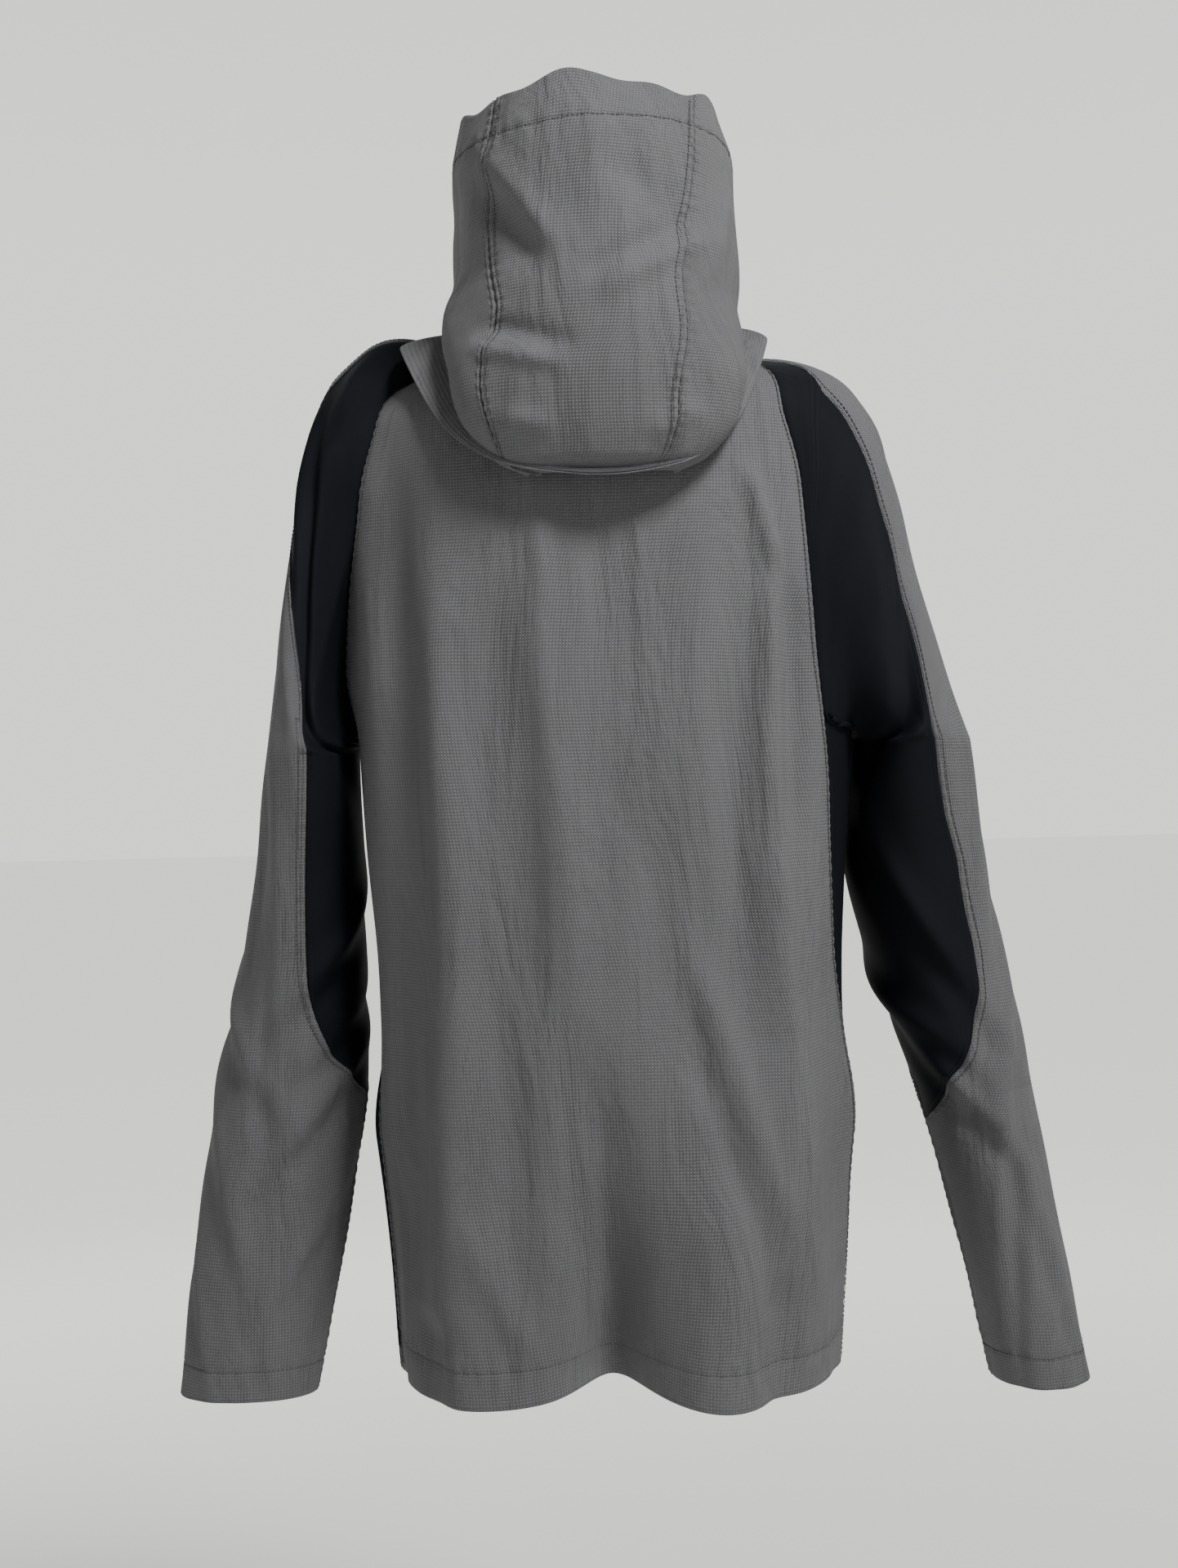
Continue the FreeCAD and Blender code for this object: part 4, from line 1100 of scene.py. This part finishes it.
def slider(name, w, h, thick, at):
    """Slider body: a front and a back shield on a short neck."""
    neck = rounded(w * 0.24, -h * 0.42, -h * 0.06, 0.8, 0.8)
    return merge(name, [
        plate(name + "_face", mirrored(SLIDER_HALF, w, h), 0.0, -thick * 0.42, at, METAL),
        plate(name + "_back", mirrored(SLIDER_HALF, w * 0.96, h), -thick * 0.58, -thick, at, METAL),
        plate(name + "_neck", neck, -thick * 0.3, -thick * 0.7, at, METAL),
    ])


def pull(name, w, long, at, thick=1.55):
    """Flat tapered tag with an eye above and a ribbed grip below."""
    eye = rounded(w * 0.42, -long * 0.22, -long * 0.07)[::-1]
    parts = [plate(name + "_body", mirrored(PULL_HALF, w, long), 0, -thick * 0.8, at, METAL, (eye,), 0.3)]
    for i in range(7):
        z = -long * (0.56 + 0.055 * i)
        rib = rounded(w * 0.62, z - 0.32, z + 0.32, 0.12, 0.12, 3)
        parts.append(plate(name + "_rib", rib, -thick * 0.75, -thick, at, METAL, bevel=0.14))
    return merge(name, parts)


TOP = ZIP_LONG - 11 - 5.6
at_slider = lambda x, y, z: on_zip(x, 0.7 + y, TOP + z)
ob = slider("front_slider", 10.6, 10.9, 2.15, at_slider)
done(ob, rider("main_slider_body"), ("main_slider",))
at_pull = lambda x, y, z: on_zip(x, 0.7 - 2.2 - 0.6 + y, TOP - 5 + z)
ob = pull("front_pull", 6.9, 29.6, at_pull)
done(ob, rider("main_pull_body"), ("main_pull",))


# ------------------------------------------------------------------ hand pockets
POCKET_LONG = 160.0
LIP_SECTION = [
    (1.9, 0.5), (1.8, -0.1), (1.95, -0.75), (2.3, -1.15), (3.2, -1.3), (4.4, -1.1), (4.9, -0.8),
    (5.4, -1.15), (6.8, -1.2), (8.4, -0.9), (9.4, -0.2), (9.8, 0.9),
]
pocket_tooth = tooth(1.75, 1.5, 1.0)
for side, sign in (("left", 1), ("right", -1)):
    def spot(x, z, off, sign=sign):
        t = angle_for_x(x, z)
        return plain_torso(t if sign > 0 else math.pi - t, z, off)

    a, b = spot(112, -400.0, 0.6), spot(124, -400.0 - POCKET_LONG, 0.6)
    m = spot(118, -400.0 - POCKET_LONG / 2, 0.6)
    up = unit_of(a - b)
    out = spot(118, -480.0, 10) - spot(118, -480.0, 0)
    out = unit_of(out - up * out.dot(up))
    across = np.cross(-out, up)
    foot = b + out * (max(0.0, (m - (a + b) / 2).dot(out)) + 0.4)

    def at(x, y, z, across=across, out=out, up=up, foot=foot):
        return foot + across * x - out * y + up * z

    places = []
    for k in range(int((POCKET_LONG - 6) / 1.7)):
        z = 3 + k * 1.7
        places.append((at(1.9, -0.5, z), -across, -out, up))
        places.append((at(-1.9, -0.5, z + 0.85), across, -out, up))
    ob = repeated(side + "_pocket_teeth", pocket_tooth, places)
    done(ob, ON_TRUNK, (side + "_pocket_zip",))
    # narrow tape behind the teeth
    z = np.linspace(-3, POCKET_LONG + 3, 60)
    x = np.linspace(-7, 7, 9)
    grid = np.array([[at(px, 0.75, pz) for px in x] for pz in z])
    done(shell(side + "_pocket_tape", grid, (TAPE, TAPE), True, 0.6), ON_TRUNK)
    # one folded lip of cloth each side of the teeth, closed at the ends
    for word, lip in (("inner", 1), ("outer", -1)):
        z = np.linspace(-9, POCKET_LONG + 9, 120 // R)
        end = np.clip(np.minimum(z + 9, POCKET_LONG + 9 - z) / 9, 0, 1)
        line = []
        for dx, dy in LIP_SECTION:
            ripple = 0.18 * np.sin(z / 4.3 + dx) if dx > 2 else 0 * z
            px = lip * (dx - 1.6 * (1 - ease(0, 1, end)) * (dx < 3))
            py = dy + ripple + 1.2 * (1 - end)
            line.append(np.stack([at(*point) for point in zip(px, py, z)]))
        ob = shell("%s_pocket_%s_lip" % (side, word), np.stack(line, 1), (GREY, GREY), lip > 0, 0.9)
        done(ob, ON_TRUNK)
    # bar tack stitches across both ends and a line down each lip
    paths = []
    for zz in (-5.5, POCKET_LONG + 5.5):
        for d in (-0.7, 0, 0.7):
            xs = np.linspace(-6.5, 6.5, 12)
            paths.append((np.array([at(v, -0.15, zz + d) for v in xs]), np.tile(out, (12, 1))))
    for lip in (1, -1):
        zs = np.linspace(0, POCKET_LONG, 100)
        paths.append((np.array([at(lip * 4.9, -1.0, v) for v in zs]), np.tile(out, (100, 1))))
    done(stitches(side + "_pocket_stitching", paths, THREAD, 2.4, 0.28), ON_TRUNK)

    where = lambda x, y, z, at=at: at(x, -1.6 + y, POCKET_LONG - 2 + z)
    ob = slider(side + "_small_slider", 6.9, 8.9, 2.35, where)
    done(ob, rider(side + "_pocket_slider_body"), (side + "_pocket_slider",))
    where = lambda x, y, z, at=at: at(x, -1.6 - 2.4 - 0.5 + y, POCKET_LONG - 6 + z)
    ob = pull(side + "_small_pull", 4.9, 23.6, where)
    done(ob, rider(side + "_pocket_pull_body"), (side + "_pocket_pull",))
    # hanging mesh bag, inside the front
    z = np.linspace(-381, -569, 70 // R)
    fr = np.linspace(0, 1, 44 // R)
    lo, hi = angle_for_x(fold_x(z) + 8, z), angle_for_x(fold_x(z) + 58, z)
    t = lo[:, None] + (hi - lo)[:, None] * fr[None, :]
    t = t if sign > 0 else math.pi - t
    sag = -0.6 - 0.9 * np.sin(math.pi * fr)[None, :] * ease(-381, -500, z)[:, None]
    grid = torso(t, z[:, None] * np.ones_like(t), -CLOTH - 1.2 + sag)
    grid[..., 2] -= 3.0 * np.sin(math.pi * fr)[None, :] * ease(-540, -569, z)[:, None]
    ob = shell(side + "_bag_cloth", grid, (MESH, MESH), sign > 0, 0.7)
    done(ob, ON_TRUNK, (side + "_pocket_bag",))


# ------------------------------------------------------------------ storm flap, hang loop, neck label
z = np.linspace(HEM + 30, 52, 180 // R)
x = np.array([-2.0, -1.4, 0.0, 4.0, 8.0, 11.0, 12.0, 13.0, 16.0, 19.5])
lines = []
for px in x:
    y = front_at(z) + 6.2 + 0.16 * np.sin(z / 13 + px / 5) * (px < 12)
    lines.append(np.stack([np.full_like(z, px), y, z], -1))
ob = shell("flap_cloth", np.stack(lines, 1), (BLACK, BLACK), True, 0.9)
done(ob, rider("left_front"), ("storm_flap",))

strand, turns, loops_n, around = [], 26, 300 // R, 8
faces = []
for k in range(3):
    w = np.arange(loops_n) * 2 * math.pi / loops_n
    phase = w * turns + 2 * math.pi * k / 3
    radius = 14 + 0.92 * np.cos(phase)
    mid = np.stack([radius * np.cos(w), 64.5 + 0.92 * np.sin(phase), -16 + radius * np.sin(w)], -1)
    tan = unit_of(np.roll(mid, -1, 0) - np.roll(mid, 1, 0))
    side_way = unit_of(np.cross(tan, np.array([0, 1.0, 0])))
    other = np.cross(tan, side_way)
    block = np.stack([
        mid + 1.0 * (math.cos(q) * side_way + math.sin(q) * other)
        for q in np.arange(around) * 2 * math.pi / around
    ], 1)
    strand.append(block.reshape(-1, 3))
    idx = np.arange(loops_n * around).reshape(loops_n, around) + k * loops_n * around
    nxt = np.roll(idx, -1, 0)
    faces += np.stack([idx, nxt, np.roll(nxt, -1, 1), np.roll(idx, -1, 1)], -1).reshape(-1, 4).tolist()
done(mesh_of("loop_cord", np.concatenate(strand), faces, TAPE), ON_TRUNK, ("hang_loop",))

z = np.linspace(24, 50, 16)
t = math.radians(90) + np.linspace(-19, 19, 24) / 64
off = -5.9 - 0.2 * np.sin(z / 3.0)[:, None] * np.ones((1, 24))
grid = torso(t[None, :] * np.ones((16, 1)), z[:, None] * np.ones((1, 24)), off)
done(shell("label_cloth", grid, (LABEL, LABEL), True, 0.45), ON_TRUNK, ("neck_label",))


def on_label(t, z):
    return torso(t, z, -6.45), torso(t, z, -7.45) - torso(t, z, -6.45)


middle = math.radians(90)
level, height = middle + np.linspace(-17.8, 17.8, 60) / 64, np.linspace(25.2, 48.8, 40)
paths = [on_label(level, np.full(60, zz)) for zz in (25.2, 48.8)]
paths += [on_label(np.full(40, middle + d / 64), height) for d in (-17.8, 17.8)]
done(stitches("label_stitching", paths, DARK_THREAD, 2.0, 0.2), ON_TRUNK)

# ------------------------------------------------------------------ floor, lights, camera
bm = bmesh.new()
bmesh.ops.create_grid(bm, x_segments=1, y_segments=1, size=30)
floor_paint_and_glow, tree, bsdf = material("floor_paint_and_glow", (0.80, 0.80, 0.78), 0.95)
paint(bsdf, noise(tree, 2.0), (0.85, 0.85, 0.83), (0.88, 0.88, 0.86))
# painted light: the floor glows in its own pale colour, less round the jacket (painted soft shadow)
bsdf.inputs["Emission Color"].default_value = (0.80, 0.80, 0.78, 1)
floor = from_bmesh("floor", bm, [floor_paint_and_glow])
floor.location.z = -1.25

world = bpy.data.worlds.new("studio")
bpy.context.scene.world = world
world.use_nodes = True
sky = world.node_tree
toward = sky.nodes.new("ShaderNodeSeparateXYZ")
sky.links.new(sky.nodes.new("ShaderNodeTexCoord").outputs["Generated"], toward.inputs[0])


def soft_step(value, lo, hi, start, end):
    """Smooth change from start to end while value goes from lo to hi."""
    part = value.id_data.nodes.new("ShaderNodeMapRange")
    part.interpolation_type = "SMOOTHSTEP"
    for i, number in enumerate((lo, hi, start, end)):
        part.inputs[i + 1].default_value = number
    value.id_data.links.new(value, part.inputs[0])
    return part.outputs[0]


# a bright wall in front of the jacket, paler bands round the rest of the room at eye level
x_way, y_way, z_way = toward.outputs
band = soft_step(sums("ABSOLUTE", z_way), 0.22, 0.5, 1.0, 0.0)
glow = plus(soft_step(y_way, 0.42, 0.9, 0.26, 0.66), soft_step(x_way, -0.9, -0.45, 0.2, 0.0))
glow = plus(times(glow, band), soft_step(y_way, -0.90, -0.66, 1.34, 0.16))
sky.nodes["Background"].inputs[0].default_value = (0.80, 0.80, 0.78, 1)
sky.links.new(glow, sky.nodes["Background"].inputs[1])
# painted light: the floor glows, more with distance, so that no horizon shows; its weaker glow round the
# jacket is a painted soft shadow under it
reach = tree.nodes.new("ShaderNodeVectorMath")
reach.operation = "LENGTH"
tree.links.new(tree.nodes.new("ShaderNodeTexCoord").outputs["Object"], reach.inputs[0])
tree.links.new(soft_step(reach.outputs["Value"], 0.7, 3.2, 0.30, 1.14), bsdf.inputs["Emission Strength"])


def area_light(name, where, aim, size, power):
    data = bpy.data.lights.new(name, "AREA")
    data.size = size
    data.energy = power
    ob = link(name, data)
    ob.location = where
    ob.rotation_euler = (Vector(aim) - Vector(where)).to_track_quat("-Z", "Y").to_euler()


area_light("window", (-0.80, 1.15, 1.35), (0, 0, -0.25), 0.5, 78)
area_light("room", (2.4, 1.0, 0.8), (0, 0, -0.3), 1.6, 3)
area_light("front_fill", (0.8, -2.4, 1.0), (0, 0, -0.3), 2.5, 22)

cam = bpy.data.cameras.new("camera")
cam.sensor_width = 36
cam.lens = 47.7
camera = link("camera", cam)
eye = to_frame(np.array([11.8, 1400.0, -286.0]))
turn = Matrix.Rotation(math.pi, 4, "Z") @ Matrix.Rotation(math.pi / 2, 4, "X") @ Matrix.Rotation(
    math.radians(-1.37), 4, "Z"
)
camera.matrix_world = Matrix.Translation(Vector(eye)) @ turn
bpy.context.scene.camera = camera

bpy.context.view_layer.update()
